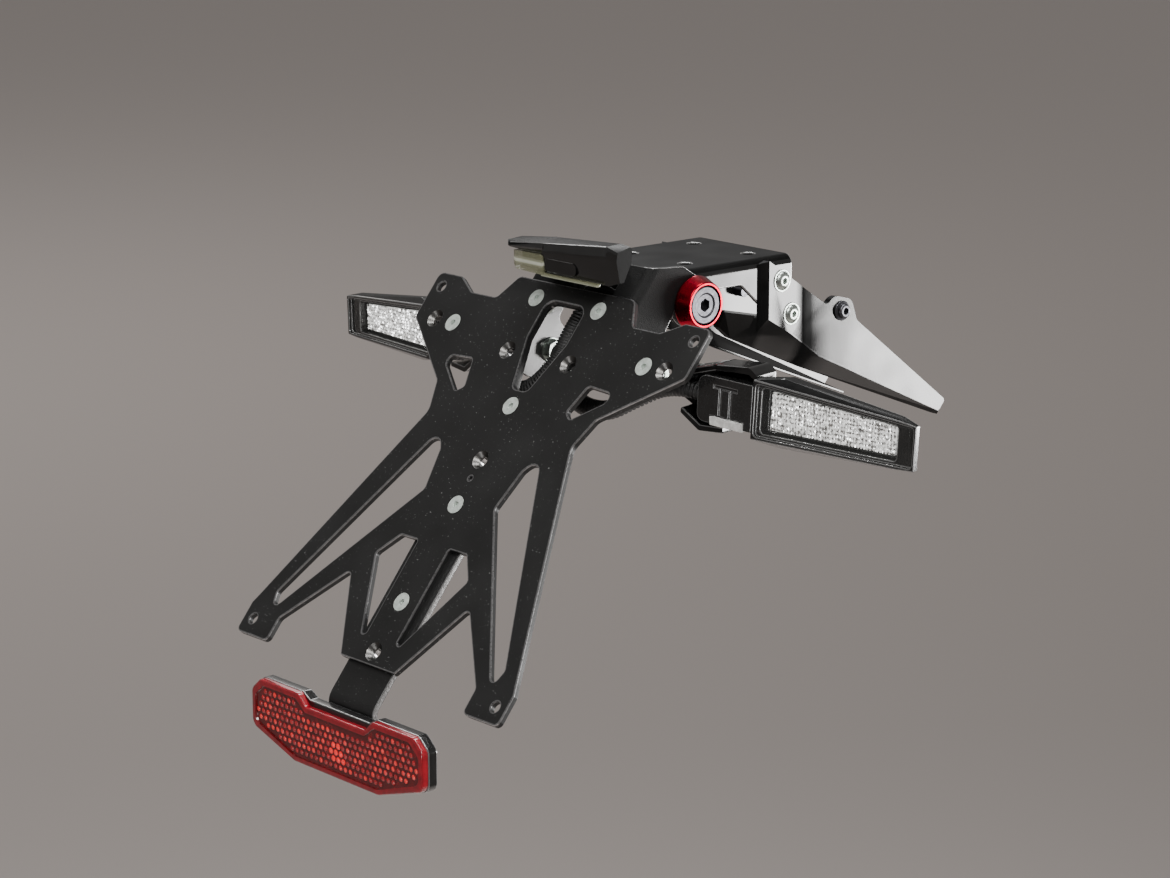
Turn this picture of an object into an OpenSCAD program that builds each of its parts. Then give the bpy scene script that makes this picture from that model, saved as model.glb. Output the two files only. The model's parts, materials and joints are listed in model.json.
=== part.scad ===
// Motorcycle tail tidy: a folded tail bracket with two blade arms carries a tilting number plate panel,
// a plate light, a reflector on its strap and a pair of indicators.
// X runs to the bike's right, Y forward and Z up. The origin is the centre of the four tail bolt holes,
// on the upper face of the tail bracket.

/* [Stance] */
// Lean of the number plate panel from vertical, with its lower end to the rear
plate_lean = 38.7; // [30:0.1:46]
// Tilt pivot behind the tail bolts
pivot_back = 34.3; // [33:0.1:37]
// Tilt pivot below the bracket's upper face
pivot_drop = 15.8; // [15:0.1:18]
// Tilt pivot above the panel's middle screw, measured along the panel
pivot_rise = 89.6; // [87:0.1:94]
// Tilt pivot ahead of the panel's rear-facing surface
pivot_gap = 38; // [37:0.1:41]

/* [Sheet metal] */
// Thickness of the number plate panel
panel_t = 3; // [2.5:0.1:4]
// Thickness of the tail bracket's sheet
bracket_t = 3; // [2.5:0.1:3.5]
// Thickness of the tilting carrier's sheet
carrier_t = 3; // [2.5:0.1:3.5]
// Thickness of the blade arms
arm_t = 4; // [3:0.1:5]
// Thickness of the reflector strap
strap_t = 3; // [2.5:0.1:4]
// Thickness of the indicator brackets
holder_t = 3; // [2:0.1:3.5]
// Inner radius of the folds
fold_r = 2; // [1:0.1:3]

/* [Number plate panel] */
// Half width over the wings and feet
panel_half_w = 102.5; // [99:0.5:108]
// Top edge of the middle, above the middle screw
panel_top = 68.8; // [67:0.1:71]
// Top edge of the wing tips
wing_top = 62; // [60:0.1:64]
// Bottom of the notch between wing tip and middle
notch_bottom = 54.6; // [52:0.1:56]
// Lower end of the outer feet
foot_bottom = 152.3; // [150:0.1:156]
// Lower end of the middle tongue
tongue_bottom = 145.8; // [143:0.1:150]
// Width of the outer feet
foot_w = 25.5; // [24:0.1:27]
// Width of the bar outside the long slots, at their lower ends
leg_bar = 13.7; // [12.5:0.1:15]
// Half width of the waist
waist_half_w = 54.5; // [52:0.1:57]
// Half width of the middle tongue's lower end
tongue_half_w = 20.5; // [18:0.1:22]
// Height of the corner holes in the wings, above the middle screw
wing_hole_y = 54; // [52:0.1:55]
// Depth of the corner holes in the feet, below the middle screw
foot_hole_y = 143.8; // [142:0.1:146]
// Corner holes inward of the panel's edge
corner_hole_in = 7.5; // [6:0.1:9.5]
// Radius of the corner holes
corner_hole_r = 2.75; // [2.2:0.05:3.2]
// Width of the bright bevel on the countersinks
countersink_r = 5; // [4.6:0.1:5.4]

/* [Fasteners] */
// Radius of the panel screws' thread
screw_r = 2.5; // [2:0.1:2.5]
// Play between a screw and its hole
screw_play = 0.25; // [0.15:0.05:0.4]
// Length of the panel screws under the surface
screw_len = 12; // [11.5:0.5:14]
// Width across the flats of the panel nuts
nut_flats = 8; // [7.6:0.1:8.6]
// Thickness of the panel nuts
nut_t = 4; // [3:0.1:4.5]
// Radius of the button heads on the arm pads
button_r = 4.75; // [4.4:0.05:5.2]
// Height of the button heads
button_h = 2.1; // [1.9:0.05:2.8]

/* [Tail bracket] */
// Half width over the bracket's sides
bracket_half_w = 36; // [34:0.1:38]
// Length of the bracket ahead of the tail bolts
bracket_front = 38; // [34:0.5:42]
// Length of the bracket behind the tail bolts
bracket_rear = 52; // [50:0.1:53]
// Radius of the pivot lugs
lug_r = 12.5; // [11.5:0.1:13]
// Radius of the four tail bolt holes
tail_hole_r = 3.3; // [2.8:0.1:4.3]
// Spacing of the tail bolt holes across the bike
tail_hole_x = 40; // [34:1:44]
// Spacing of the tail bolt holes along the bike
tail_hole_y = 44; // [38:1:48]

/* [Tilt pivot] */
// Radius of the pivot bolts' shanks
pivot_r = 4; // [3.5:0.1:4.5]
// Running clearance between a pivot bolt and the carrier's ear
pivot_play = 0.05; // [0.02:0.01:0.1]
// Thickness of the friction washers
washer_t = 0.9; // [0.6:0.1:1.4]
// Side clearance on each face of an ear
ear_play = 0.1; // [0.05:0.01:0.15]
// Largest radius of the red collars
collar_r = 14; // [13.2:0.1:15]
// Radius of the collars' outer rim
collar_rim_r = 11.7; // [11.2:0.1:12.4]
// Length of the collars
collar_l = 8.5; // [7.5:0.1:10]
// Radius of the pivot bolts' flat heads
pivot_head_r = 9.7; // [9:0.1:10.2]
// Thickness of the pivot bolts' heads
pivot_head_t = 4; // [3:0.1:5]
// Length of the pivot bolts' shanks inside the spacer tube
pivot_bolt_in = 16; // [12:0.5:20]
// Wall of the spacer tube between the bracket's sides
spacer_wall = 3; // [2:0.1:4]

/* [Carrier] */
// Half width over the carrier's ears
carrier_top = 88; // [86:0.1:90]
// Lower end of the carrier's tongue, below the middle screw
carrier_bottom = 12; // [10:0.1:16]
// Forward reach of the ears' lower lobes, behind the panel's surface
lobe_depth = 43; // [41:0.1:45]
// Height of the holder bolts above the middle screw, along the panel
holder_bolt_y = 47.5; // [46:0.1:49]
// Holder bolts inward of the lobes' forward edge
holder_edge = 7; // [6:0.1:7.2]

/* [Reflector] */
// Half width of the strap
strap_half_w = 17.5; // [15:0.1:18]
// Upper end of the strap, below the middle screw
strap_top = 22; // [20:0.1:26]
// Bend of the strap, below the middle screw
strap_bend = 166; // [164:0.1:170]
// Length of the strap below its bend
strap_drop = 30; // [26:0.5:34]
// Half width of the reflector
reflector_half_w = 68; // [64:0.5:72]
// Height of the reflector
reflector_h = 36.5; // [34:0.5:40]
// Thickness of the reflector's housing
reflector_body_t = 6.5; // [5:0.1:9]
// Thickness of the red lens
reflector_lens_t = 3.5; // [2.5:0.1:4.5]
// Depth of the notch over the strap
reflector_notch = 5.5; // [4:0.1:7]
// Height of the reflector's top edge above the strap's lower end
reflector_rise = 30.5; // [29:0.1:32]

/* [Plate light] */
// Rear face of the plate light, behind the pivot
light_back = 55.2; // [54.6:0.1:57]
// Bottom of the plate light's lens, above the pivot
light_low = 13.8; // [13.4:0.1:15.5]
// Left end of the light
light_left = 40; // [38:0.5:44]
// Right end of the light
light_right = 44.5; // [42:0.5:48]
// Height at the light's tall end
light_h = 19.5; // [18:0.1:20.5]
// Depth of the light's top
light_depth = 11; // [10:0.1:11.8]
// Height of the clear lens
light_lens_h = 10; // [8.5:0.1:10.5]
// Width of the clear lens
light_lens_w = 24; // [21:0.5:26]
// Length of the lens's rim along the light's lower edge
light_rim_l = 42; // [36:0.5:44]
// Half width of the light's foot
light_foot_w = 24; // [20:0.5:28]

/* [Indicators] */
// Inner end of the lamp's face, from the middle of the bike
lamp_x = 122; // [120:0.5:128]
// Face of the lamp behind the pivot, at its inner end
lamp_back = 39.7; // [38.5:0.1:41.5]
// Middle of the lamp below the pivot, at its inner end
lamp_drop = 34.3; // [33:0.1:35.5]
// Length of the lamp's face
lamp_l = 92; // [86:0.5:98]
// Height of the lamp's face at its inner end
lamp_h_in = 29; // [27:0.1:30]
// Height of the lamp's face at its outer end
lamp_h_out = 22.4; // [20:0.1:24]
// Forward sweep of the lamp
lamp_sweep = 9.6; // [6:0.1:12]
// Droop of the lamp's outer end
lamp_droop = 3.5; // [1:0.1:6]
// Depth of the lamp's housing
lamp_depth = 20; // [18:0.1:23]
// Thickness of the lamp's clear lens
lamp_lens_t = 3; // [2:0.1:3.5]
// Depth of the pocket behind the lens
lamp_pocket = 5.4; // [5.2:0.1:7]
// Width of the black rim round the lens
lamp_rim = 1.6; // [1.2:0.1:2.5]
// Length of the stem block
stem_l = 32; // [28:0.5:34]
// Height of the stem block
stem_h = 23; // [21:0.1:24]
// Depth of the stem block
stem_depth = 16; // [14:0.1:18]

/* [Arms] */
// Reach of the blade arms ahead of the pivot
arm_reach = 181; // [170:1:190]
// Drop of the blade arms' tips below the pivot
arm_drop = 75; // [70:1:80]
// Flare of the blades past their fold
arm_flare = 2.5; // [0:0.5:5]
// Inward fold of the lower flange
flange_in = 8; // [5:0.1:10]

/* [Leads] */
// Radius of the corrugated conduits over their ridges
conduit_r = 5; // [4:0.1:5.5]
// Depth of the corrugations
conduit_groove = 0.9; // [0.4:0.1:1.2]

/* [Hidden] */
$fn = 48;
black = [0.08, 0.08, 0.085];
plastic = [0.05, 0.05, 0.055];
steel = [0.72, 0.74, 0.76];
clear = [0.85, 0.9, 0.92, 0.4];
red = [0.72, 0.04, 0.07];
// Tiny reach past a surface, so that a cut goes right through it
eps = 0.5;
carrier_half_w = bracket_half_w + washer_t + ear_play + carrier_t;
ear_in = carrier_half_w - carrier_t;
collar_in = carrier_half_w + ear_play;
holder_bolt_z = lobe_depth - holder_edge;
hole_r = screw_r + screw_play;
// Inner ends of the wings' upper edges, and the wings' screws and open holes
wing_from = max(panel_half_w - 31.5, 58);
wing_screw_x = panel_half_w - 30.4;
wing_open_x = panel_half_w - 15.9;
// Panel screws as [x, y], then the open countersunk holes
screw_at = [[0, 0], [23.3, 58.9], [-23.3, 58.9], [wing_screw_x, 35.9], [-wing_screw_x, 35.9], [0, -56.4],
    [0, -111.2]];
open_at = [[wing_open_x, 36], [-wing_open_x, 36], [23, 28.1], [-23, 28.1], [0, -30.9], [0, -138.8]];

// Frames

// The pivot's own frame
module at_pivot() {
    translate([0, -pivot_back, -pivot_drop]) children();
}
// The panel's frame: x across, y up along the panel, z out of its rear-facing surface
module on_plate() {
    at_pivot() rotate([90 - plate_lean, 0, 0]) translate([0, -pivot_rise, pivot_gap]) children();
}
// A right-hand lamp's frame: x outward along the face, y forward, z up
module on_lamp() {
    at_pivot() translate([lamp_x, -lamp_back, -lamp_drop]) rotate([0, lamp_droop, lamp_sweep]) children();
}
module left_of() {
    mirror([1, 0, 0]) children();
}
// Turns an outline drawn as [y, z] into a slab between two x values
module slab_x(x0, x1) {
    translate([x0, 0, 0]) rotate([90, 0, 90]) linear_extrude(x1 - x0) children();
}
// Turns an outline drawn as [x, z] into a slab between two y values
module slab_y(y0, y1) {
    translate([0, y1, 0]) rotate([90, 0, 0]) linear_extrude(y1 - y0) children();
}
// A cylinder along x between two x values
module rod_x(x0, x1, r) {
    translate([x0, 0, 0]) rotate([0, 90, 0]) cylinder(r = r, h = x1 - x0);
}

// Outlines

function unit(v) = v / norm(v);
function reversed(list) = [for (i = [len(list) - 1:-1:0]) list[i]];
function flat(p) = [p[0], p[1]];
// Points of one corner, rounded to the radius held in its third value
function corner(a, b, c, steps) =
    b[2] == 0 || b[2] == undef ? [flat(b)] :
    let (u = unit(flat(a) - flat(b)), w = unit(flat(c) - flat(b)), half = acos(u * w) / 2,
         centre = flat(b) + unit(u + w) * b[2] / sin(half),
         from = flat(b) + u * b[2] / tan(half) - centre, to = flat(b) + w * b[2] / tan(half) - centre,
         start = atan2(from.y, from.x), raw = atan2(to.y, to.x) - start,
         turn = raw > 180 ? raw - 360 : raw < -180 ? raw + 360 : raw)
    [for (i = [0:steps]) centre + b[2] * [cos(start + turn * i / steps), sin(start + turn * i / steps)]];
// A closed outline of [x, y, radius] corners as plain points
function rounded(path, steps = 6) =
    [for (i = [0:len(path) - 1])
        each corner(path[(i + len(path) - 1) % len(path)], path[i], path[(i + 1) % len(path)], steps)];
// The right half of an outline, continued by its mirror image
function both_sides(half) = concat(half, [for (p = reversed(half)) [-p[0], p[1], p[2]]]);
// An open line moved sideways by t, with mitred corners
function beside(path, t) =
    [for (i = [0:len(path) - 1])
        let (before = i > 0 ? unit(path[i] - path[i - 1]) : unit(path[1] - path[0]),
             after = i < len(path) - 1 ? unit(path[i + 1] - path[i]) : before,
             side = unit([-(before + after).y, (before + after).x]))
        path[i] + side * t / (side * [-before.y, before.x])];
function ribbon(path, t) = concat(path, reversed(beside(path, t)));

// Number plate panel

function panel_half() = [
    [0, panel_top, 0], [43, panel_top, 4], [51.5, notch_bottom, 4], [wing_from, notch_bottom, 4],
    [wing_from + 13, wing_top, 4], [panel_half_w - 0.5, wing_top, 4], [panel_half_w - 0.5, 34.5, 4],
    [waist_half_w + 6, 3.5, 5], [waist_half_w, -13, 8],
    [panel_half_w - 2.5, -130, 3], [panel_half_w, -136, 3], [panel_half_w, -foot_bottom, 3],
    [panel_half_w - foot_w, -foot_bottom, 3], [panel_half_w - foot_w, -139, 4], [46, -104, 2.5],
    [tongue_half_w + 0.5, -tongue_bottom, 1.5], [0, -tongue_bottom, 0]];
function leg_slot() = let (end = panel_half_w - leg_bar) [
    [38.5, -21.5, 5], [end, -126.5, 3], [end - 2.8, -135.5, 2.5], [end - 6.8, -131, 4], [27, -53, 4],
    [31.5, -31, 5]];
function side_window() = [[44, 19.5, 2.5], [62, 18.5, 3], [60, 13, 2.5], [43.5, 0.5, 2], [39, 4, 2]];
function tongue_window() = [[12, -79, 1.5], [25.3, -79, 2], [35.5, -91.5, 2.5], [14.5, -133, 1.5], [12, -131, 1]];
function middle_window(grow = 0) = [
    [-14.5 - grow, 59.3, 6], [14.5 + grow, 59.3, 6], [14.5 + grow, 38, 8],
    [5.5 + grow / 2, 9, 4], [-5.5 - grow / 2, 9, 4], [-14.5 - grow, 38, 8]];

module plate_panel() {
    color(black) on_plate() difference() {
        translate([0, 0, -panel_t]) linear_extrude(panel_t) polygon(rounded(both_sides(panel_half())));
        for (side = [-1, 1]) scale_x(side) {
            through_cut(leg_slot());
            through_cut(side_window());
            through_cut(tongue_window());
            for (y = [wing_hole_y, -foot_hole_y])
                translate([panel_half_w - corner_hole_in, y, -panel_t - eps]) cylinder(r = corner_hole_r, h = panel_t + 2 * eps);
        }
        through_cut(middle_window());
        for (at = concat(screw_at, open_at)) translate(at) countersink();
        translate([0, -41.5, -panel_t - eps]) cylinder(r = 1.3, h = panel_t + 2 * eps);
    }
}
module scale_x(side) {
    mirror([side < 0 ? 1 : 0, 0, 0]) children();
}
module through_cut(outline) {
    translate([0, 0, -panel_t - eps]) linear_extrude(panel_t + 2 * eps) polygon(rounded(outline, 5));
}
// A clearance hole with a cone for a flat head
module countersink() {
    translate([0, 0, -panel_t - eps]) cylinder(r = hole_r, h = panel_t + 2 * eps);
    translate([0, 0, hole_r - countersink_r]) cylinder(r1 = hole_r, r2 = countersink_r + eps,
        h = countersink_r - hole_r + eps);
}
// A flat-headed socket screw whose head fills the countersink
module panel_screw() {
    head = countersink_r - 0.1;
    difference() {
        union() {
            translate([0, 0, screw_r - head]) cylinder(r1 = screw_r, r2 = head, h = head - screw_r);
            translate([0, 0, -screw_len]) cylinder(r = screw_r, h = screw_len - head + screw_r + eps);
        }
        translate([0, 0, -1.8]) cylinder(r = 1.75, h = 2, $fn = 6);
    }
}
function backing(at) = abs(at.x) > carrier_half_w ? 0 : at.y < -strap_top ? strap_t : carrier_t;
module panel_screws() {
    color(steel) on_plate() for (at = screw_at) translate(at) panel_screw();
}
module panel_nuts() {
    color(steel) on_plate() for (at = screw_at)
        translate([at.x, at.y, -panel_t - backing(at) - nut_t]) difference() {
            cylinder(r = nut_flats / sqrt(3), h = nut_t, $fn = 6);
            translate([0, 0, -eps]) cylinder(r = screw_r + 0.02, h = nut_t + 2 * eps);
        }
}

// Tilting carrier

// Side view of the carrier as [y, z]: the sheet behind the panel, the ear and its lower lobe
function ear_outline() = [
    [-carrier_bottom, -panel_t, 0], [carrier_top, -panel_t, 0], [pivot_rise + 10.4, -pivot_gap + 18, 3],
    [pivot_rise + lug_r, -pivot_gap, 0], [pivot_rise, -pivot_gap - 1, 0], [pivot_rise - 7.5, -29, 3],
    [63, -31, 3], [61, 4 - lobe_depth, 3], [44, -lobe_depth, 4], [holder_bolt_y - 13, 1 - lobe_depth, 4],
    [holder_bolt_y - 18.5, -33, 4], [27, -panel_t - carrier_t - fold_r, 0],
    [-carrier_bottom, -panel_t - carrier_t - fold_r, 0]];
// Face of the carrier as [x, y]
function carrier_face() = both_sides([
    [0, carrier_top, 0], [carrier_half_w, carrier_top, 0], [carrier_half_w, 24, 4], [19, 5, 6],
    [19, -carrier_bottom, 4], [0, -carrier_bottom, 0]]);
// Section of the folded sheet as [x, z]
function carrier_section() = let (deep = -70, back = -panel_t - carrier_t)
    both_sides([[0, -panel_t, 0], [carrier_half_w, -panel_t, fold_r + carrier_t], [carrier_half_w, deep, 0],
        [ear_in, deep, 0], [ear_in, back, fold_r], [0, back, 0]]);

module carrier_bracket() {
    color(black) on_plate() difference() {
        intersection() {
            union() {
                slab_x(-carrier_half_w, carrier_half_w) polygon(rounded(ear_outline()));
                translate([0, pivot_rise, -pivot_gap]) rod_x(-carrier_half_w, carrier_half_w, lug_r);
            }
            slab_y(-carrier_bottom - 1, pivot_rise + 2 * lug_r) polygon(rounded(carrier_section()));
            union() {
                translate([0, 0, -panel_t - carrier_t - eps]) linear_extrude(carrier_t + 2 * eps)
                    polygon(rounded(carrier_face()));
                for (side = [-1, 1]) scale_x(side)
                    translate([ear_in - fold_r - eps, 24, -100]) cube([carrier_t + fold_r + 2 * eps, 100, 100]);
            }
        }
        translate([0, 0, -10]) linear_extrude(10) polygon(rounded(middle_window(2), 5));
        for (at = concat(screw_at, open_at)) if (abs(at.x) < carrier_half_w && at.y > -carrier_bottom)
            translate([at.x, at.y, -20]) cylinder(r = hole_r, h = 20);
        for (side = [-1, 1]) translate([side * light_screw_x, light_screw_y, -20]) cylinder(r = 2.2, h = 20);
        translate([0, pivot_rise, -pivot_gap]) rod_x(-60, 60, pivot_r + pivot_play);
        translate([0, holder_bolt_y, -holder_bolt_z]) rod_x(-60, 60, 3.1);
        translate([grommet_x, grommet_y, -20]) cylinder(r = grommet_r, h = 20);
    }
}
grommet_x = 0;
grommet_y = 74;
grommet_r = 6.5;
light_screw_x = 16;
light_screw_y = 79.5;
// Rubber ring in the carrier's sheet, where the loom passes through
module lead_grommet() {
    color(plastic) on_plate() translate([grommet_x, grommet_y, -panel_t - carrier_t - 1.5])
        rotate_extrude() polygon([[4.4, 0], [8.2, 0], [8.2, 1.4], [grommet_r - 0.05, 1.4],
            [grommet_r - 0.05, 1.5 + carrier_t], [4.4, 1.5 + carrier_t]]);
}

// Tail bracket

// Side view of the bracket as [y, z] from the pivot: top, lug, the lower edge and the end behind the pads
function bracket_side() = let (top = pivot_drop + 1, rear = pivot_back - bracket_rear, low = pad_at[1])
    [[rear, top, 0], [rear, pivot_drop - 7, 3], [1 - lug_r, 5, 0], [0, 0, 0], [10, 3.8, 0], [36.4, 3.8, 4],
     [52.4, -10.2, 4], [low.x - 2, low.y - 8, 4], [low.x + 8, low.y - 4, 4],
     [pivot_back + bracket_front, 0, 6], [pivot_back + bracket_front, top, 0]];
function bracket_section() = let (w = bracket_half_w, t = bracket_t, deep = -60)
    both_sides([[0, 0, 0], [w, 0, fold_r + t], [w, deep, 0], [w - t, deep, 0], [w - t, -t, fold_r], [0, -t, 0]]);

module tail_bracket() {
    color(black) difference() {
        intersection() {
            slab_y(-bracket_rear, bracket_front) polygon(rounded(bracket_section()));
            at_pivot() union() {
                slab_x(-bracket_half_w, bracket_half_w) polygon(rounded(bracket_side()));
                rod_x(-bracket_half_w, bracket_half_w, lug_r);
            }
        }
        for (x = [-1, 1], y = [-1, 1]) translate([x * tail_hole_x / 2, y * tail_hole_y / 2, -10])
            cylinder(r = tail_hole_r, h = 20);
        at_pivot() rod_x(-60, 60, pivot_r + 0.05);
        at_pivot() for (at = pad_at) translate([0, at.x, at.y]) rod_x(-60, 60, hole_r);
    }
}

// Blade arms

// Pad screws as [y, z] from the pivot
pad_at = [[61.3, 3.8], [68.3, -14.2]];
// Bolt that ties the blade to the tail's side
arm_bolt_at = [104.3, -17.2];
arm_bolt_r = 3;
// Rear edge of the pad's outer face, and the length of the ramp before it
pad_rear = 52.3;
pad_ramp = 5;
// Fold across the blade, from its upper to its lower end
fold_top = [85.3, -7.2];
fold_low = [69.3, -25.2];
function arm_pad() = [[pad_rear - pad_ramp, 13, 2], [pad_rear, 14.8, 1], [fold_top.x, fold_top.y, 0],
    [fold_low.x, fold_low.y, 0], [pad_rear - pad_ramp, -12.5, 0]];
function arm_blade() = [[fold_top.x - 0.4, fold_top.y + 0.2, 0], [fold_low.x - 0.4, fold_low.y + 0.4, 0],
    [88.3, -39, 0], [arm_reach - 4.6, -arm_drop - 5.4, 1.5], [arm_reach, -arm_drop, 1.5],
    [arm_bolt_at.x + 11, -23.5, 4], [arm_bolt_at.x + 7.5, -12, 6], [arm_bolt_at.x - 6, -8.5, 6],
    [arm_bolt_at.x - 9.5, -13.5, 3]];
// Upper and lower edges of the inward flange
flange_top = [[21.3, -7], [51.5, -13.5], fold_low, [88.3, -39], [arm_reach - 5, -arm_drop - 5]];
flange_low = [[25, -16.5], [33, -23], [60, -34.8], [84, -45.2], [arm_reach + 2.5, -arm_drop - 9.2]];

// Bends what follows outward about the blade's fold
module past_fold() {
    translate([arm_in, fold_low.x, fold_low.y])
        rotate(a = arm_flare, v = [0, fold_low.x - fold_top.x, fold_low.y - fold_top.y])
        translate([-arm_in, -fold_low.x, -fold_low.y]) children();
}
arm_in = bracket_half_w;
// Outward shift of a point of the blade, which grows with its distance from the fold
function flare_at(p) = let (along = unit(fold_low - fold_top), from = p - fold_top)
    max(0, along.x * from.y - along.y * from.x) * sin(arm_flare);
module flange_end(i) {
    x = arm_in + flare_at(flange_top[i]);
    translate([x, flange_top[i].x, flange_top[i].y]) rotate([90, 0, 90]) cylinder(r = 0.4, h = arm_t, $fn = 8);
    translate([x - flange_in, flange_low[i].x, flange_low[i].y]) rotate([90, 0, 90])
        cylinder(r = 0.4, h = arm_t, $fn = 8);
}
module arm_right() {
    color(black) at_pivot() difference() {
        union() {
            slab_x(arm_in, arm_in + arm_t) polygon(rounded(arm_pad()));
            past_fold() slab_x(arm_in, arm_in + arm_t) polygon(rounded(arm_blade()));
            for (i = [0:3]) hull() {
                flange_end(i);
                flange_end(i + 1);
            }
        }
        // Ramp that sets the pad off from the bracket's side
        translate([arm_in, pad_rear, -30]) linear_extrude(60)
            polygon([[0, -pad_ramp - 5], [0, -pad_ramp], [arm_t, 0], [arm_t + 5, 6], [arm_t + 5, -pad_ramp - 5]]);
        for (at = pad_at) translate([0, at.x, at.y]) rod_x(0, 60, hole_r);
        past_fold() translate([0, arm_bolt_at.x, arm_bolt_at.y]) rod_x(arm_in - 5, arm_in + 15, arm_bolt_r + 0.3);
    }
}
module arm_left() {
    left_of() arm_right();
}
// A socket button-head screw along x, with its seat at x = 0 and its head outward
module button_screw(length) {
    dome = [for (a = [15, 30, 45, 60]) [button_r * cos(a), button_h * sin(a) / sin(60)]];
    rotate([0, 90, 0]) difference() {
        rotate_extrude() polygon(concat([[0, -length], [screw_r, -length], [screw_r, 0], [button_r, 0]],
            dome, [[0, button_h]]));
        translate([0, 0, button_h - 1.5]) cylinder(r = 1.7, h = 5, $fn = 6);
    }
}
module pad_screws() {
    color(steel) for (side = [-1, 1]) scale_x(side) at_pivot() for (at = pad_at)
        translate([arm_in + arm_t, at.x, at.y]) button_screw(arm_t + bracket_t + nut_t + 1);
}
module pad_nuts() {
    color(steel) for (side = [-1, 1]) scale_x(side) at_pivot() for (at = pad_at)
        translate([bracket_half_w - bracket_t - nut_t, at.x, at.y]) rotate([0, 90, 0]) difference() {
            cylinder(r = nut_flats / sqrt(3), h = nut_t, $fn = 6);
            translate([0, 0, -eps]) cylinder(r = screw_r + 0.02, h = nut_t + 2 * eps);
        }
}
// Domed bolts with a collar, at the blades' upper edges
module arm_bolts() {
    color(plastic) for (side = [-1, 1]) scale_x(side) at_pivot() past_fold()
        translate([arm_in + arm_t, arm_bolt_at.x, arm_bolt_at.y]) rotate([0, 90, 0]) difference() {
            union() {
                rotate_extrude() polygon(rounded([[0, 0, 0], [5.2, 0, 0], [5.2, 0.9, 0.3], [4, 1.2, 0],
                    [3.7, 3.4, 1.2], [0, 3.4, 0]], 4));
                translate([0, 0, -arm_t - 6]) cylinder(r = arm_bolt_r, h = arm_t + 6.1);
            }
            translate([0, 0, 1.8]) cylinder(r = 1.9, h = 4, $fn = 6);
        }
}

// Tilt pivot

module pivot_spacer() {
    inside = bracket_half_w - bracket_t;
    color(steel) at_pivot() difference() {
        rod_x(-inside, inside, pivot_r + spacer_wall);
        rod_x(-60, 60, pivot_r + 0.05);
    }
}
module pivot_bolts() {
    head_out = collar_in + collar_l - 0.3;
    color(black) for (side = [-1, 1]) scale_x(side) at_pivot() difference() {
        union() {
            translate([head_out - pivot_head_t, 0, 0]) rotate([0, 90, 0]) rotate_extrude()
                polygon([[0, 0], [pivot_head_r, 0], [pivot_head_r, pivot_head_t - 0.6],
                    [pivot_head_r - 0.6, pivot_head_t], [6.2, pivot_head_t], [5.6, pivot_head_t - 0.5],
                    [0, pivot_head_t - 0.5]]);
            rod_x(bracket_half_w - bracket_t - pivot_bolt_in, head_out - pivot_head_t + 0.1, pivot_r);
        }
        translate([head_out - 3.6, 0, 0]) rotate([0, 90, 0]) cylinder(r = 3.3, h = 6, $fn = 6);
    }
}
// Red turned collar that presses on the carrier's ear
module collar_right() {
    seat = collar_l - 0.3 - pivot_head_t;
    color(red) at_pivot() translate([collar_in, 0, 0]) rotate([0, 90, 0]) rotate_extrude()
        polygon([[pivot_r + 0.05, 0], [collar_r - 1, 0], [collar_r, 0.8], [collar_r, 1.8],
            [collar_rim_r, collar_l - 0.4], [collar_rim_r - 0.4, collar_l], [pivot_head_r + 0.3, collar_l],
            [pivot_head_r + 0.3, seat], [pivot_r + 0.05, seat]]);
}
module collar_left() {
    left_of() collar_right();
}
module pivot_washers() {
    color(plastic) for (side = [-1, 1]) scale_x(side) at_pivot() difference() {
        rod_x(bracket_half_w, bracket_half_w + washer_t, lug_r - 1);
        rod_x(0, 60, pivot_r + 0.05);
    }
}

// Reflector on its strap

// World down, seen in the panel's frame as [y, z]
down = [-cos(plate_lean), -sin(plate_lean)];
strap_end = [-strap_bend, -panel_t] + down * strap_drop;
module reflector_strap() {
    path = [[-strap_top, -panel_t], [-strap_bend, -panel_t], strap_end];
    inner = beside(path, strap_t);
    outline = [concat(path[0], 0), concat(path[1], 6 + strap_t), concat(path[2], 0),
        concat(inner[2], 0), concat(inner[1], 6), concat(inner[0], 0)];
    color(black) on_plate() difference() {
        slab_x(-strap_half_w, strap_half_w) polygon(rounded(outline));
        for (at = concat(screw_at, open_at, [[0, -41.5]])) if (at.y < -strap_top)
            translate([at.x, at.y, -panel_t - strap_t - eps]) cylinder(r = hole_r, h = strap_t + 2 * eps);
        at_strap_end() translate([0, -5, 14]) rotate([-90, 0, 0]) cylinder(r = hole_r, h = 20);
    }
}
// Upright frame at the lower end of the strap's rear face, in the panel's frame
module at_strap_end() {
    translate([0, strap_end.x, strap_end.y]) rotate([plate_lean - 90, 0, 0]) children();
}
// Outline of the reflector as [x, z] from the strap's lower end
function reflector_face(inset, notch) = let (w = reflector_half_w - inset, top = reflector_rise - inset,
        low = reflector_rise - reflector_h + inset)
    both_sides([[0, top - notch, 0], [23.5, top - notch, 2], [29 + inset / 2, top, 3], [w - 7, top, 4],
        [w, top - 6, 4], [w, low + 10.5, 5], [33, low, 8], [0, low, 0]]);
module reflector_housing() {
    front = -reflector_body_t;
    color(plastic) on_plate() at_strap_end() difference() {
        union() {
            slab_y(front, -1.2) polygon(rounded(reflector_face(0, reflector_notch - 2.5), 5));
            slab_y(-1.3, 0) polygon(rounded(reflector_face(1.5, reflector_notch - 2.5), 5));
        }
        slab_y(front - eps, front + 1) polygon(rounded(reflector_face(2.2, reflector_notch), 5));
        translate([0, -reflector_body_t + 1.5, 14]) rotate([-90, 0, 0]) cylinder(r = screw_r + 0.02, h = 20);
    }
}
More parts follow.
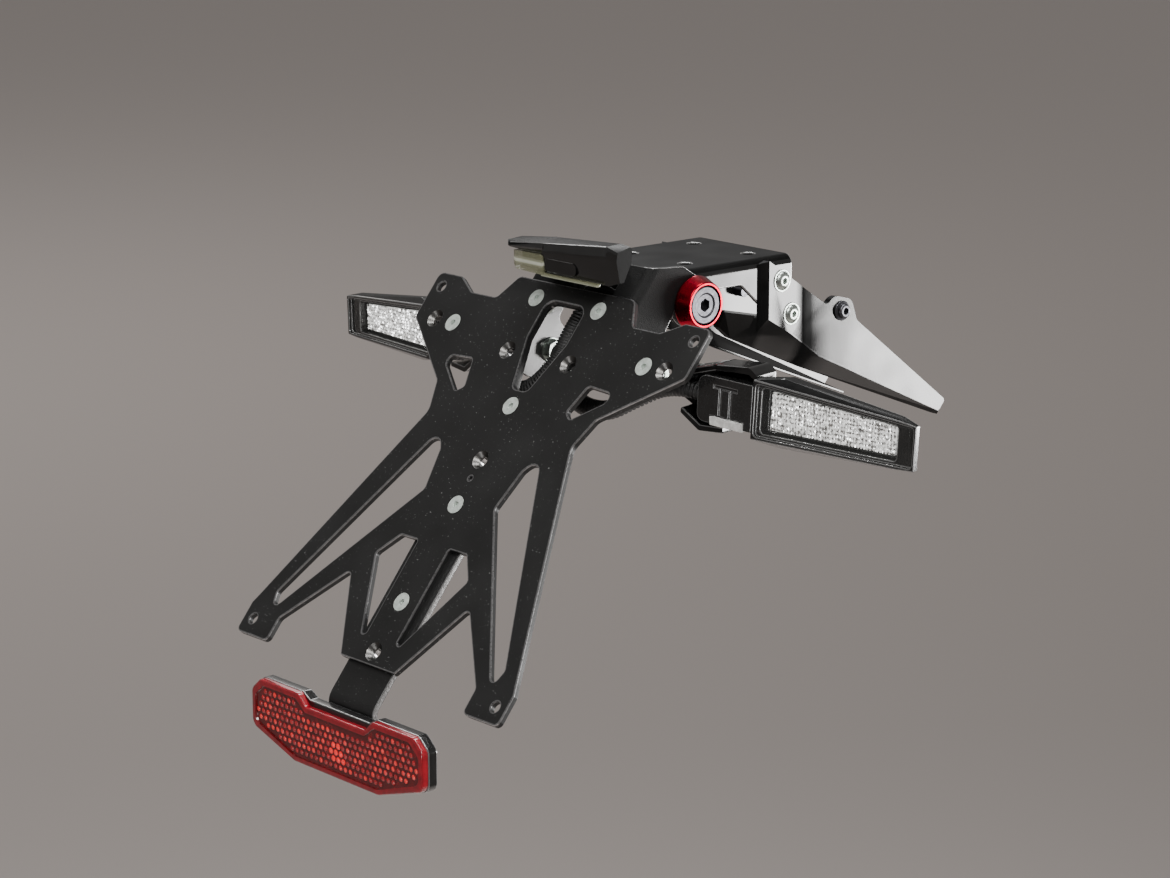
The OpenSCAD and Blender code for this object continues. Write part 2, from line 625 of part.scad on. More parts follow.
module reflector_lens() {
    front = -reflector_body_t - reflector_lens_t;
    color(red) on_plate() at_strap_end() union() {
        slab_y(front + 0.8, -reflector_body_t) polygon(rounded(reflector_face(0.4, reflector_notch), 5));
        slab_y(front, front + 0.9) polygon(rounded(reflector_face(1.2, reflector_notch), 5));
        slab_y(-reflector_body_t - 0.1, 1 - reflector_body_t - 0.05)
            polygon(rounded(reflector_face(2.4, reflector_notch), 5));
    }
}
// Stud and nut that hold the reflector to the strap
module reflector_bolt() {
    color(steel) on_plate() at_strap_end() translate([0, 0, 14]) rotate([-90, 0, 0]) difference() {
        union() {
            translate([0, 0, 1.6 - reflector_body_t]) cylinder(r = screw_r, h = reflector_body_t + strap_t + nut_t);
            translate([0, 0, strap_t]) cylinder(r = nut_flats / sqrt(3), h = nut_t, $fn = 6);
        }
        translate([0, 0, strap_t + nut_t - 0.2]) cylinder(r = 1, h = 5);
    }
}

// Plate light

// A section of the light at an x position: its lower edge, crease, ridge and top as heights over the pivot
module light_section(x, low, crease, ridge, top, depth) {
    back = -light_back;
    translate([x, 0, 0]) rotate([90, 0, 90]) linear_extrude(0.2)
        polygon([[back + 2.2, low], [back + 0.4, crease], [back, crease + 0.8], [back + 0.8, ridge],
            [back + depth - 1, top], [back + depth, top - 1], [back + depth, top - 7], [back + 5, low]]);
}
// The lens lies at the left end, under a hood; the rest of the front is black
light_lens_from = -light_left + 4.5;
light_lens_to = light_lens_from + light_lens_w;
module light_housing() {
    low = light_low + 1;
    high = light_low + light_h;
    lens_top = light_low + light_lens_h;
    color(plastic) at_pivot() difference() {
        union() {
            hull() {
                light_section(light_lens_to, low, high - 9, high - 3.8, high - 1.5, light_depth);
                light_section(light_right - 9, low - 0.5, high - 4.6, high + 0.6, high + 1.2, light_depth);
                light_section(light_right - 1, low + 2, high - 6, high - 1.5, high + 0.6, light_depth - 1);
            }
            hull() {
                light_section(light_lens_to + 0.1, lens_top - 0.5, high - 7, high - 3.8, high - 1.5, light_depth);
                light_section(light_lens_from - 1, lens_top + 0.5, high - 8.5, high - 6, high - 4, light_depth - 1);
                translate([-light_left, -light_back + 2, lens_top + 1]) cube([0.2, light_depth - 5, 3]);
            }
            light_block();
            light_foot();
        }
        // Pocket for the lens and the board behind it, and the groove for the lens's rim
        translate([light_lens_from - 0.6, -light_back - 1, low - 3])
            cube([light_lens_w + 0.9, 7.6, lens_top - low + 3.3]);
        translate([light_lens_from, -light_back - 1, low - 3])
            cube([light_lens_w + light_rim_l + 0.3, 3.7, 3.4]);
        for (side = [-1, 1]) light_screw_hole(side);
    }
}
// Rounded block that stands out of the light's front, beside the lens
module light_block() {
    face = [[light_lens_to + 1.6, light_low + 2.2, 2.6], [light_lens_to + 25, light_low + 2.2, 2.6],
        [light_lens_to + 25, light_low + 8.6, 3], [light_lens_to + 1.6, light_low + 8.6, 3]];
    slab_y(-light_back + 0.4, -light_back + 5) polygon(rounded(face, 5));
}
// Foot from the light down to the carrier's sheet
module light_foot() {
    turn = 90 - plate_lean;
    near = [cos(turn) * (72.5 - pivot_rise) - sin(turn) * (pivot_gap - panel_t),
        sin(turn) * (72.5 - pivot_rise) + cos(turn) * (pivot_gap - panel_t)];
    far = near + 14 * [cos(turn), sin(turn)];
    slab_x(-light_foot_w, light_foot_w)
        polygon([[-light_back + 7, light_low + 1.2], near, far, [-light_back + light_depth - 0.5, far.y + 2],
            [-light_back + light_depth - 0.5, light_low + light_h - 9], [-light_back + 7, light_low + light_h - 9]]);
}
module light_screw_hole(side) {
    rotate([90 - plate_lean, 0, 0]) translate([side * light_screw_x, light_screw_y - pivot_rise, pivot_gap - panel_t - 1])
        cylinder(r = screw_r - 0.48, h = 7);
}
module light_screws() {
    color(steel) on_plate() for (side = [-1, 1])
        translate([side * light_screw_x, light_screw_y, -panel_t - carrier_t]) difference() {
            union() {
                translate([0, 0, -2.2]) cylinder(r = 3.4, h = 2.2);
                translate([0, 0, -0.1]) cylinder(r = screw_r - 0.5, h = carrier_t + 5);
            }
            translate([0, 0, -3]) cylinder(r = 1.4, h = 2.2, $fn = 6);
        }
}
module light_lens() {
    low = light_low;
    color([0.95, 0.95, 0.85, 0.5]) at_pivot() union() {
        hull() {
            translate([light_lens_from, -light_back + 2, low + 2.5]) cube([1, 3.5, light_lens_h - 3]);
            translate([light_lens_from + 4, -light_back, low + 0.4]) cube([1, 3.2, light_lens_h - 0.7]);
            translate([light_lens_to - 1, -light_back - 0.4, low]) cube([1, 3.6, light_lens_h - 0.2]);
        }
        translate([light_lens_to - 0.5, -light_back - 0.4, low - 0.6]) cube([light_rim_l, 2.4, 1.6]);
    }
}
// Board with a row of diodes behind the clear lens
module light_leds() {
    color("gold") at_pivot() translate([light_lens_from + 2.5, -light_back + 5.6, light_low + 1]) union() {
        cube([light_lens_w - 3.5, 1.4, light_lens_h - 2.2]);
        for (i = [0:2]) translate([1.6 + i * (light_lens_w - 7.5) / 2, -0.3, 2]) cube([2.6, 0.5, 2.6]);
    }
}

// Indicators

// Half height of the lamp's face at a distance from its inner end
function face_half(u) = (lamp_h_in + (lamp_h_out - lamp_h_in) * u / lamp_l) / 2;
// The lamp's face as [x, z], shrunk by an inset
function lamp_face(from, to, inset) = [[from, -face_half(from) + inset, 2], [to, -face_half(to) + inset, 2],
    [to, face_half(to) - inset, 2], [from, face_half(from) - inset, 2]];
module lamp_section(u, half, wide, depth) {
    translate([u, 0, 0]) rotate([90, 0, 90]) linear_extrude(0.3)
        polygon([[0, -half], [0, half], [5, wide], [depth - 6, wide - 0.5], [depth, wide - 6],
            [depth, 6 - wide], [depth - 6, 0.5 - wide], [5, -wide]]);
}
module indicator_housing_right() {
    color(plastic) on_lamp() difference() {
        hull() {
            lamp_section(0, face_half(0), face_half(0) + 0.5, stem_depth);
            lamp_section(14, face_half(14), face_half(14) + 2.9, lamp_depth);
            lamp_section(lamp_l - 10, face_half(lamp_l - 10), face_half(lamp_l - 10) + 1.4, lamp_depth - 9);
            translate([lamp_l - 0.3, 0, 0.5 - face_half(lamp_l)]) cube([0.3, 3, 2 * face_half(lamp_l) - 1]);
        }
        slab_y(-1, lamp_lens_t - 1) polygon(rounded(lamp_face(lamp_rim, lamp_l - lamp_rim, lamp_rim), 4));
        slab_y(0, lamp_lens_t + lamp_pocket)
            polygon(rounded(lamp_face(2 * lamp_rim + 1, lamp_l - 11, 2 * lamp_rim), 4));
    }
}
module indicator_housing_left() {
    left_of() indicator_housing_right();
}
module indicator_lens_right() {
    color(clear) on_lamp() hull() {
        slab_y(-0.2, lamp_lens_t - 1) polygon(rounded(lamp_face(lamp_rim, lamp_l - lamp_rim, lamp_rim), 4));
        slab_y(-1.2, 0) polygon(rounded(lamp_face(lamp_rim + 1, lamp_l - lamp_rim - 1, lamp_rim + 0.9), 4));
    }
}
module indicator_lens_left() {
    left_of() indicator_lens_right();
}
// Faceted mirror: a grid of shallow pyramids along the lamp
facet_rows = 6;
facet_columns = 28;
reflector_from = 7.5;
function facet_z(u, row) = (row / facet_rows * 2 - 1) * (face_half(u) - 3 * lamp_rim);
module indicator_reflector_right() {
    from = reflector_from;
    to = lamp_l - 14;
    step = (to - from) / facet_columns;
    back = lamp_lens_t + lamp_pocket - 1.9;
    grid = [for (i = [0:facet_columns], j = [0:facet_rows]) let (u = from + i * step) [u, back - 1.2, facet_z(u, j)]];
    peaks = [for (i = [0:facet_columns - 1], j = [0:facet_rows - 1])
        let (u = from + (i + 0.5) * step) [u, back - 2.6, facet_z(u, j + 0.5)]];
    base = [for (u = [from, to], row = [0, facet_rows]) [u, back, facet_z(u, row)]];
    rows = facet_rows + 1;
    count = len(grid);
    last = facet_columns * rows;
    b = count + len(peaks);
    faces = concat(
        [for (i = [0:facet_columns - 1], j = [0:facet_rows - 1])
            let (a = i * rows + j, tip = count + i * facet_rows + j)
            each [[a, a + 1, tip], [a + 1, a + rows + 1, tip], [a + rows + 1, a + rows, tip], [a + rows, a, tip]]],
        [for (j = [0:facet_rows - 1]) each [[j + 1, j, b], [last + j, last + j + 1, b + 2]]],
        [[facet_rows, b, b + 1], [last + facet_rows, b + 3, b + 2]],
        [for (i = [0:facet_columns - 1])
            each [[i * rows, (i + 1) * rows, b], [(i + 1) * rows + facet_rows, i * rows + facet_rows, b + 1]]],
        [[last, b + 2, b], [last + facet_rows, b + 1, b + 3]],
        [[b, b + 2, b + 3], [b, b + 3, b + 1]]);
    color(steel) on_lamp() polyhedron(concat(grid, peaks, base), [for (f = faces) reversed(f)]);
}
module indicator_reflector_left() {
    left_of() indicator_reflector_right();
}
// Diode strip behind the mirror
module indicator_leds_right() {
    back = lamp_lens_t + lamp_pocket - 1.8;
    color("gold") on_lamp() difference() {
        slab_y(back, back + 1.4) polygon(rounded(lamp_face(8, lamp_l - 12.5, 3 * lamp_rim), 3));
        for (u = [10, lamp_l - 15]) translate([u, 0, 0]) rotate([-90, 0, 0]) cylinder(r = 0.8, h = 20);
    }
}
module indicator_leds_left() {
    left_of() indicator_leds_right();
}
// Stem block with a T-shaped relief, between the lamp and its bracket
module indicator_stem_right() {
    half = stem_h / 2;
    color(plastic) on_lamp() difference() {
        slab_y(0, stem_depth) polygon(rounded([[-stem_l, -half, 4], [-0.05, -half, 0], [-0.05, half, 0],
            [-stem_l, half, 5]], 5));
        for (bar = [[-23, -9, 6, 7.6], [-19.5, -18, -8, 6.1], [-13.5, -12, -8, 6.1]])
            translate([bar[0], -1, bar[2]]) cube([bar[1] - bar[0], 2, bar[3] - bar[2]]);
        translate([-24, -1, -half - 1]) cube([19.5, 2.1, 5]);
        translate([-stem_l / 2, stem_depth - 9, 0]) rotate([-90, 0, 0]) cylinder(r = screw_r - 0.45, h = 20);
    }
}
module indicator_stem_left() {
    left_of() indicator_stem_right();
}
// Bright spring clip that hooks the stem's lower edge
module stem_clip_right() {
    half = stem_h / 2;
    color(steel) on_lamp() translate([-23.5, 0, 0]) rotate([90, 0, 90]) linear_extrude(18.5)
        polygon(rounded([[-1.4, -half + 3.6, 0.3], [1, -half + 3.6, 0], [1, -half, 0], [stem_depth, -half, 0],
            [stem_depth, -half - 0.8, 0], [-0.6, -half - 0.8, 0.6]], 3));
}
module stem_clip_left() {
    left_of() stem_clip_right();
}
// Outline of the indicator bracket's web as [x, z]
function holder_web() = [[holder_from, 9.5, 0], [-52, 9.5, 6], [-42, 11.2, 3], [-25, 16.7, 12], [-5, 18.8, 4], [-0.6, 16, 2],
    [-0.6, -8, 2], [-16.5, -16.2, 4], [-32.5, -17.5, 5], [-52, -6.8, 6], [holder_from, -6.8, 0]];
// The web's inner end lies within the tab on the ear
holder_from = (carrier_half_w + 0.1 - lamp_x + (stem_depth + holder_t) * sin(lamp_sweep)) / cos(lamp_sweep) * 0.995;
// Rear edges of its upper and lower flanges
function upper_flange() = [[-46, 10.3], [-42, 11.2], [-25, 16.7], [-5, 18.8], [-0.6, 16.4]];
function lower_flange() = [[-18, -16.3], [-32.5, -17.5], [-45, -10.6]];
// Everything behind the web except the two flanges
function holder_bay() = concat([[-95, 25], [-46, 25]], beside(upper_flange(), -holder_t),
    [[4, 12], [4, -25], [-18, -25]], beside(lower_flange(), -holder_t), [[-45.5, -25], [-95, -25]]);
module indicator_bracket_right() {
    plane = stem_depth;
    color(black) difference() {
        union() {
            on_lamp() difference() {
                slab_y(3, plane + holder_t) polygon(rounded(holder_web(), 5));
                slab_y(2, plane) polygon(holder_bay());
            }
            holder_tab();
        }
        on_plate() translate([0, holder_bolt_y, -holder_bolt_z]) rod_x(0, 60, 3.1);
        on_lamp() translate([-stem_l / 2, 0, 0]) rotate([-90, 0, 0]) cylinder(r = screw_r + screw_play, h = 30);
        on_lamp() translate([-60, 0, 1]) rotate([-90, 0, 0]) cylinder(r = 7, h = 60);
    }
}
// Tab on the ear's outer face, which the web is folded out of
module holder_tab() {
    turn = 90 - plate_lean;
    at = [cos(turn) * (holder_bolt_y - pivot_rise) - sin(turn) * (pivot_gap - holder_bolt_z),
        sin(turn) * (holder_bolt_y - pivot_rise) + cos(turn) * (pivot_gap - holder_bolt_z)];
    // Rear face of the web and the web's ends, where they meet the ear
    u = (carrier_half_w - lamp_x) / cos(lamp_sweep);
    web_y = u * sin(lamp_sweep) + stem_depth - lamp_back;
    web_z = -lamp_drop - u * sin(lamp_droop);
    at_pivot() slab_x(carrier_half_w, carrier_half_w + holder_t)
        polygon(rounded([[at.x + 8.5, at.y + 8, 5], [web_y + holder_t / 2, web_z + 9.2, 0],
            [web_y + holder_t / 2, web_z - 6.5, 0], [at.x + 8.5, at.y - 8, 5]], 5));
}
module indicator_bracket_left() {
    left_of() indicator_bracket_right();
}
module bracket_bolts() {
    color(steel) for (side = [-1, 1]) scale_x(side) on_plate()
        translate([carrier_half_w + holder_t, holder_bolt_y, -holder_bolt_z]) difference() {
            union() {
                rod_x(0, 4, 4.6);
                rod_x(-holder_t - carrier_t - nut_t - 1.5, 0.1, 3);
            }
            translate([1.5, 0, 0]) rotate([0, 90, 0]) cylinder(r = 2.3, h = 4, $fn = 6);
        }
}
module bracket_nuts() {
    color(steel) for (side = [-1, 1]) scale_x(side) on_plate()
        translate([ear_in - nut_t - 1, holder_bolt_y, -holder_bolt_z]) rotate([0, 90, 0]) difference() {
            union() {
                cylinder(r = 5.7, h = nut_t + 1 - 1.2, $fn = 6);
                translate([0, 0, nut_t - 0.2]) cylinder(r = 6.3, h = 1.2);
            }
            translate([0, 0, -eps]) cylinder(r = 3.02, h = nut_t + 2);
        }
}
module stem_screws() {
    color(steel) for (side = [-1, 1]) scale_x(side) on_lamp()
        translate([-stem_l / 2, stem_depth + holder_t, 0]) rotate([-90, 0, 0]) difference() {
            union() {
                cylinder(r = 4.5, h = 3);
                translate([0, 0, -holder_t - 8]) cylinder(r = screw_r - 0.5, h = holder_t + 8.1);
            }
            translate([0, 0, 1.4]) cylinder(r = 2, h = 2, $fn = 6);
        }
}

// Corrugated conduits

conduit_sides = 12;
ridge_pitch = 2.6;
function cross3(a, b) = [a[1] * b[2] - a[2] * b[1], a[2] * b[0] - a[0] * b[2], a[0] * b[1] - a[1] * b[0]];
// A point of the smooth curve through the route, with t counted in route points
function on_route(route, t) =
    let (n = len(route) - 1, i = min(floor(t), n - 1), f = t - i,
         a = route[max(i - 1, 0)], b = route[i], c = route[i + 1], d = route[min(i + 2, n)])
    0.5 * (2 * b + (c - a) * f + (2 * a - 5 * b + 4 * c - d) * f * f + (3 * b - a - 3 * c + d) * f * f * f);
// Tube with ridges along a route
module conduit(route) {
    n = len(route) - 1;
    sides = conduit_sides;
    length = [for (i = 1, sum = 0; i <= n; sum = sum + norm(route[i] - route[i - 1]), i = i + 1) sum];
    total = length[n - 1] + norm(route[n] - route[n - 1]);
    rings = 2 * round(total / ridge_pitch) + 1;
    points = [for (k = [0:rings - 1])
        let (t = n * k / (rings - 1), centre = on_route(route, t),
             ahead = unit(on_route(route, min(t + 0.02, n)) - on_route(route, max(t - 0.02, 0))),
             side = unit(cross3(ahead, [0.31, 0.22, 0.925])), up = cross3(side, ahead),
             r = conduit_r - (k % 2 == 0 ? conduit_groove : 0))
        for (j = [0:sides - 1]) centre + r * (cos(360 * j / sides) * side + sin(360 * j / sides) * up)];
    walls = [for (k = [0:rings - 2], j = [0:sides - 1])
        let (a = k * sides + j, b = k * sides + (j + 1) % sides)
        each [[a, b, b + sides], [a, b + sides, a + sides]]];
    caps = [[for (j = [sides - 1:-1:0]) j], [for (j = [0:sides - 1]) (rings - 1) * sides + j]];
    polyhedron(points, concat(walls, caps));
}
// Route from behind the carrier's sheet to the right-hand stem, from the pivot
lead_route = [[7, -24, 4], [6, -34, -9], [5.6, -41, -17], [5.6, -47, -25], [6, -51.2, -30.4], [10, -55, -38],
    [19, -57.5, -45], [30, -57.5, -47], [41, -55.5, -45.5], [52, -49.5, -39], [63, -42.5, -33], [75, -37.5, -31.5],
    [87.6, -35.6, -32.5]];
module conduit_right() {
    color(plastic) at_pivot() conduit(lead_route);
}
module conduit_left() {
    left_of() conduit_right();
}

tail_bracket();
arm_right();
arm_left();
pad_screws();
pad_nuts();
arm_bolts();
pivot_spacer();
pivot_bolts();
collar_right();
collar_left();
pivot_washers();
carrier_bracket();
plate_panel();
panel_screws();
panel_nuts();
reflector_strap();
reflector_housing();
reflector_lens();
reflector_bolt();
light_housing();
light_lens();
light_leds();
light_screws();
indicator_bracket_right();
indicator_bracket_left();
bracket_bolts();
bracket_nuts();
indicator_stem_right();
indicator_stem_left();
stem_clip_right();
stem_clip_left();
indicator_housing_right();
indicator_housing_left();
indicator_lens_right();
indicator_lens_left();
indicator_reflector_right();
indicator_reflector_left();
indicator_leds_right();
indicator_leds_left();
stem_screws();
conduit_right();
conduit_left();
lead_grommet();
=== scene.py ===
# %% [markdown]
# # A tail tidy, dressed for the camera
# A tail tidy hangs a motorcycle's number plate, plate light, reflector and indicators behind the
# tail. The solids already have their true shapes and places, so this lesson adds what they lack:
# soft edges that catch light, finishes with grain, and fine forms such as prisms, facets and
# ridges.

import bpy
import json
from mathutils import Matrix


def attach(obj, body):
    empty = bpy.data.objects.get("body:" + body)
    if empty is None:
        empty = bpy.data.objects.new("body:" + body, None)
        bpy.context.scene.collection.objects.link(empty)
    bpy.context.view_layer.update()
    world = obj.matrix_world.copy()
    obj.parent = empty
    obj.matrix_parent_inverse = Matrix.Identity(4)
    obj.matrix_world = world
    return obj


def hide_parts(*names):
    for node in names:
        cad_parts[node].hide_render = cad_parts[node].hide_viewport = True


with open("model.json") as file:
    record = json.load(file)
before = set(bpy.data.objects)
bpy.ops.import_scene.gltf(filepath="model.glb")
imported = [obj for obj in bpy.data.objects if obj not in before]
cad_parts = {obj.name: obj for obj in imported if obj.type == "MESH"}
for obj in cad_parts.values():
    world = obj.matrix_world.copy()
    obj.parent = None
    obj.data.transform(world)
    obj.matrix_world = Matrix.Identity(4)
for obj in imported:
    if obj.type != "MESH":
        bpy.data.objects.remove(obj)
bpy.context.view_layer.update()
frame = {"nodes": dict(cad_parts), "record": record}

# %% [markdown]
# ## Tools for the lesson
# Blender measures in metres and the part was drawn in millimetres, so MM turns one into the other.
# The record says which body each node moves with and which slot its material belongs to; the body
# is looked up by node.

# %% Tools for the lesson
import json
import math
import random

import bmesh
import bpy
import numpy as np
from mathutils import Matrix, Vector
from mathutils.bvhtree import BVHTree

MM = 0.001
scene = bpy.context.scene
bodies = frame["record"]["behaviour"]["bodies"]
body_of_node = {node: body for body, nodes in bodies.items() for node in nodes}

# %% [markdown]
# ## The camera
# The photograph was taken from behind the bike on its right, a little above the plate, with a long
# lens. A camera can be aimed with angles or with a matrix. The matrix is used, because its three
# columns are plain to read: what points right in the picture, what points up, and what points back
# to the camera. Its numbers were found by fitting the camera to the panel's holes and corners.

# %% Camera
right = Vector((0.6612, 0.7502, 0.0)).normalized()
back = Vector((0.7300, -0.6434, 0.2307)).normalized()
up = back.cross(right).normalized()
camera_place = Vector((1.1665, -1.0993, 0.2822))

camera_data = bpy.data.cameras.new("camera")
camera_data.lens = 97.8
camera_data.sensor_width = 36.0
camera_data.sensor_fit = "HORIZONTAL"
camera = bpy.data.objects.new("camera", camera_data)
turn = Matrix((right, up, back)).transposed().to_4x4()
camera.matrix_world = Matrix.Translation(camera_place) @ turn
scene.collection.objects.link(camera)
scene.camera = camera
print("camera looks along", tuple(round(-v, 3) for v in back))
print("camera stands", round(camera_place.length, 2), "m from the part")

# %% [markdown]
# ## Soft light
# Black parts show mostly what they mirror, so the lamps matter more than the colours. The key lamp,
# high on the right, lights the panel's coat and its screws. The blade lamp stands low beyond the
# part, just where the bracket's side and the blades mirror it to the camera, so they turn white,
# and its edge falls across the blade as a gradient. The rim lamp stands nearly in the panel's own
# plane, so it catches edges and leaves the face dark. The low lamp fills from below, the top lamp
# lights what faces up, and the floor lamp stands far off and brightens the background at the
# picture's left.

# %% Lamps
def soft_lamp(name, place, aim, size, watts, tint=(1, 1, 1), spread=180):
    """A rectangular lamp, its size (width, height) in metres, that faces aim."""
    data = bpy.data.lights.new(name, "AREA")
    data.shape = "RECTANGLE"
    data.size, data.size_y = size
    data.energy, data.color, data.spread = watts, tint, math.radians(spread)
    lamp = bpy.data.objects.new(name, data)
    lamp.location = place
    lamp.rotation_euler = (Vector(aim) - Vector(place)).to_track_quat("-Z", "Y").to_euler()
    scene.collection.objects.link(lamp)


part_middle = (0, -0.1, -0.08)
soft_lamp("key_lamp", (1.5, -1.0, 1.6), part_middle, (1.0, 1.0), 7.5, (1, 0.99, 0.97), 60)
soft_lamp("blade_lamp", (1.12, 1.79, -0.42), (0.04, 0.06, -0.06), (1.16, 0.5), 62, (1, 0.99, 0.98))
soft_lamp("rim_lamp", (-1.5, 1.0, 1.3), part_middle, (1.0, 0.6), 22)
soft_lamp("low_lamp", (0.3, -2.1, -0.45), part_middle, (0.9, 0.35), 9)
soft_lamp("floor_lamp", (-7.0, 2.6, 2.6), (-7.6, 3.0, -1.6), (4.0, 4.0), 60, (1, 0.96, 0.93))
soft_lamp("top_lamp", (0.3, 0.5, 2.2), part_middle, (1.0, 1.0), 7.5, spread=60)

# %% [markdown]
# ## Room and floor
# The room gives a weak, slightly warm light from all round. The floor is one large plain sheet far
# below the part, so it fills the picture as a calm background. Its paint is the first finish made
# here: every finish starts from one shader, whose constant numbers sit on its own sockets.

# %% Room and floor
world = bpy.data.worlds.new("studio")
scene.world = world
world.use_nodes = True
room = world.node_tree.nodes["Background"]
room.inputs["Color"].default_value = (0.62, 0.6, 0.585, 1)
room.inputs["Strength"].default_value = 0.46


def new_finish(name, colour, metallic=0.0, roughness=0.5, **sockets):
    """A plain finish. Further sockets are named with _ in place of each space."""
    mat = bpy.data.materials.new(name)
    mat.use_nodes = True
    shader = mat.node_tree.nodes["Principled BSDF"]
    shader.inputs["Base Color"].default_value = (*colour, 1)
    shader.inputs["Metallic"].default_value = metallic
    shader.inputs["Roughness"].default_value = roughness
    for socket, value in sockets.items():
        shader.inputs[socket.replace("_", " ")].default_value = value
    mat.diffuse_color = (*colour, 1)
    return mat


floor_half, floor_height = 25, -1.6
corner_signs = ((-1, -1), (1, -1), (1, 1), (-1, 1))
floor_corners = [(x * floor_half, y * floor_half, 0) for x, y in corner_signs]
floor_mesh = bpy.data.meshes.new("floor")
floor_mesh.from_pydata(floor_corners, [], [(0, 1, 2, 3)])
floor_mesh.materials.append(new_finish("floor_paint", (0.6, 0.55, 0.525), roughness=0.9))
floor = bpy.data.objects.new("floor", floor_mesh)
floor.location = (0, 0, floor_height)
scene.collection.objects.link(floor)
print("floor:", 2 * floor_half, "m wide at height", floor_height, "m")

# %% [markdown]
# ## Helpers for the finishes
# What varies over a surface, such as grain, comes from small patterns. They are measured in the
# part's own coordinates, so that the grain stays on a piece when the carrier tilts. A ramp turns a
# pattern into colours or greys, and a drive sends it to a socket of the shader.

# %% Patterns
def part_coordinates(mat):
    tree = mat.node_tree
    found = [n for n in tree.nodes if n.bl_idname == "ShaderNodeTexCoord"]
    return (found or [tree.nodes.new("ShaderNodeTexCoord")])[0].outputs["Object"]


def grain(mat, size_mm, detail=2.0):
    """A soft noise whose grains are about size_mm across."""
    noise = mat.node_tree.nodes.new("ShaderNodeTexNoise")
    noise.inputs["Scale"].default_value = 1 / (size_mm * MM)
    noise.inputs["Detail"].default_value = detail
    noise.inputs["Roughness"].default_value = 0.6
    mat.node_tree.links.new(part_coordinates(mat), noise.inputs["Vector"])
    return noise.outputs["Fac"]


def waves(mat, direction, period_mm):
    """Soft stripes along X, Y or Z. At scale 1 they would repeat every pi / 10."""
    node = mat.node_tree.nodes.new("ShaderNodeTexWave")
    node.bands_direction = direction
    node.inputs["Scale"].default_value = math.pi / (10 * period_mm * MM)
    mat.node_tree.links.new(part_coordinates(mat), node.inputs["Vector"])
    return node.outputs["Fac"]


# %% Ramps, sums and bumps
def ramp(mat, value, *stops):
    """Colours or greys by value, as (place, colour) stops."""
    node = mat.node_tree.nodes.new("ShaderNodeValToRGB")
    while len(node.color_ramp.elements) < len(stops):
        node.color_ramp.elements.new(0.5)
    for element, (place, colour) in zip(node.color_ramp.elements, stops):
        element.position = place
        element.color = (*colour, 1) if isinstance(colour, tuple) else (colour, colour, colour, 1)
    mat.node_tree.links.new(value, node.inputs["Fac"])
    return node.outputs["Color"]


def combine(mat, how, a, b):
    """Adds, multiplies or divides two values, each a number or a node's output."""
    node = mat.node_tree.nodes.new("ShaderNodeMath")
    node.operation = how
    for socket, value in zip(node.inputs, (a, b)):
        if isinstance(value, (int, float)):
            socket.default_value = value
        else:
            mat.node_tree.links.new(value, socket)
    return node.outputs["Value"]


def drive(mat, socket, output):
    mat.node_tree.links.new(output, mat.node_tree.nodes["Principled BSDF"].inputs[socket])


def bumps(mat, height, depth_mm):
    """Raises the surface by height times depth_mm."""
    tree = mat.node_tree
    node = tree.nodes.new("ShaderNodeBump")
    node.inputs["Strength"].default_value = 1.0
    node.inputs["Distance"].default_value = depth_mm * MM
    tree.links.new(height, node.inputs["Height"])
    drive(mat, "Normal", node.outputs["Normal"])


# %% [markdown]
# ## Helpers for the forms
# A solid's edges are knife sharp, and a real milled or moulded edge isn't: it has a small round
# that catches the lamps. The faces could be bevelled by hand, but a helper that copies a solid,
# merges its flat faces and rounds each sharp edge does the same for every piece. The copy then
# stands for the solid.

# %% Link and shade a piece
def link_piece(name, mesh, body, finish_list):
    obj = bpy.data.objects.new(name, mesh)
    scene.collection.objects.link(obj)
    for mat in finish_list:
        mesh.materials.append(mat)
    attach(obj, body)
    return obj


def smooth(obj, angle=32.0):
    """Shades faces as one curve where they meet at less than angle degrees."""
    obj.data.shade_smooth()
    obj.data.set_sharp_from_angle(angle=math.radians(angle))
    even = obj.modifiers.new("even_normals", "WEIGHTED_NORMAL")
    even.keep_sharp = True


# %% Copies and rounds
SHARP_DEGREES = 28
FLAT_DEGREES = 0.8
SAME_POINT = 2e-6


def copy_of(node, merge=True):
    """The node's solid as an editable mesh, with its triangles merged into flat faces if asked."""
    source = frame["nodes"][node].data
    bm = bmesh.new()
    verts = [bm.verts.new(v.co) for v in source.vertices]
    for polygon in source.polygons:
        bm.faces.new([verts[i] for i in polygon.vertices])
    bmesh.ops.remove_doubles(bm, verts=bm.verts, dist=SAME_POINT)
    if merge:
        bmesh.ops.dissolve_limit(bm, angle_limit=math.radians(FLAT_DEGREES),
                                 verts=bm.verts, edges=bm.edges)
    return bm


def sharp_edges(bm):
    limit = math.radians(SHARP_DEGREES)
    return [e for e in bm.edges if len(e.link_faces) == 2 and e.calc_face_angle(0) > limit]


def round_edges(bm, edges, radius_mm, finish_index=-1, clamp=False):
    if edges:
        bmesh.ops.bevel(bm, geom=edges, offset=radius_mm * MM, offset_type="OFFSET", segments=2,
                        profile=0.6, affect="EDGES", clamp_overlap=clamp, material=finish_index)


# %% [markdown]
# ## A copy that fits its solid
# Where short edges crowd together, full rounds run past each other and throw up spikes. Each copy
# is therefore compared with its solid, by how far its points stray and by how much its area grows,
# and a gentler way is tried until one fits. The last way leaves the edges sharp.

# %% Dress one node
# Each way: merge flat faces, share of the radius, hold rounds back where they meet, and the
# shortest edge in mm that gets a round.
WAYS = ((True, 1, False, 0), (True, 0.6, False, 0), (True, 1, False, 5), (True, 0.6, False, 5),
        (False, 1, False, 0), (False, 0.6, False, 0), (True, 0.6, False, 12), (True, 1, True, 0),
        (False, 0, True, 0))
MOST_STRAY = 0.75  # as a share of the radius
MOST_GROWTH = 1.005  # as a share of the solid's area
EDGE_SLOT, OTHER_SLOT = 1, 2


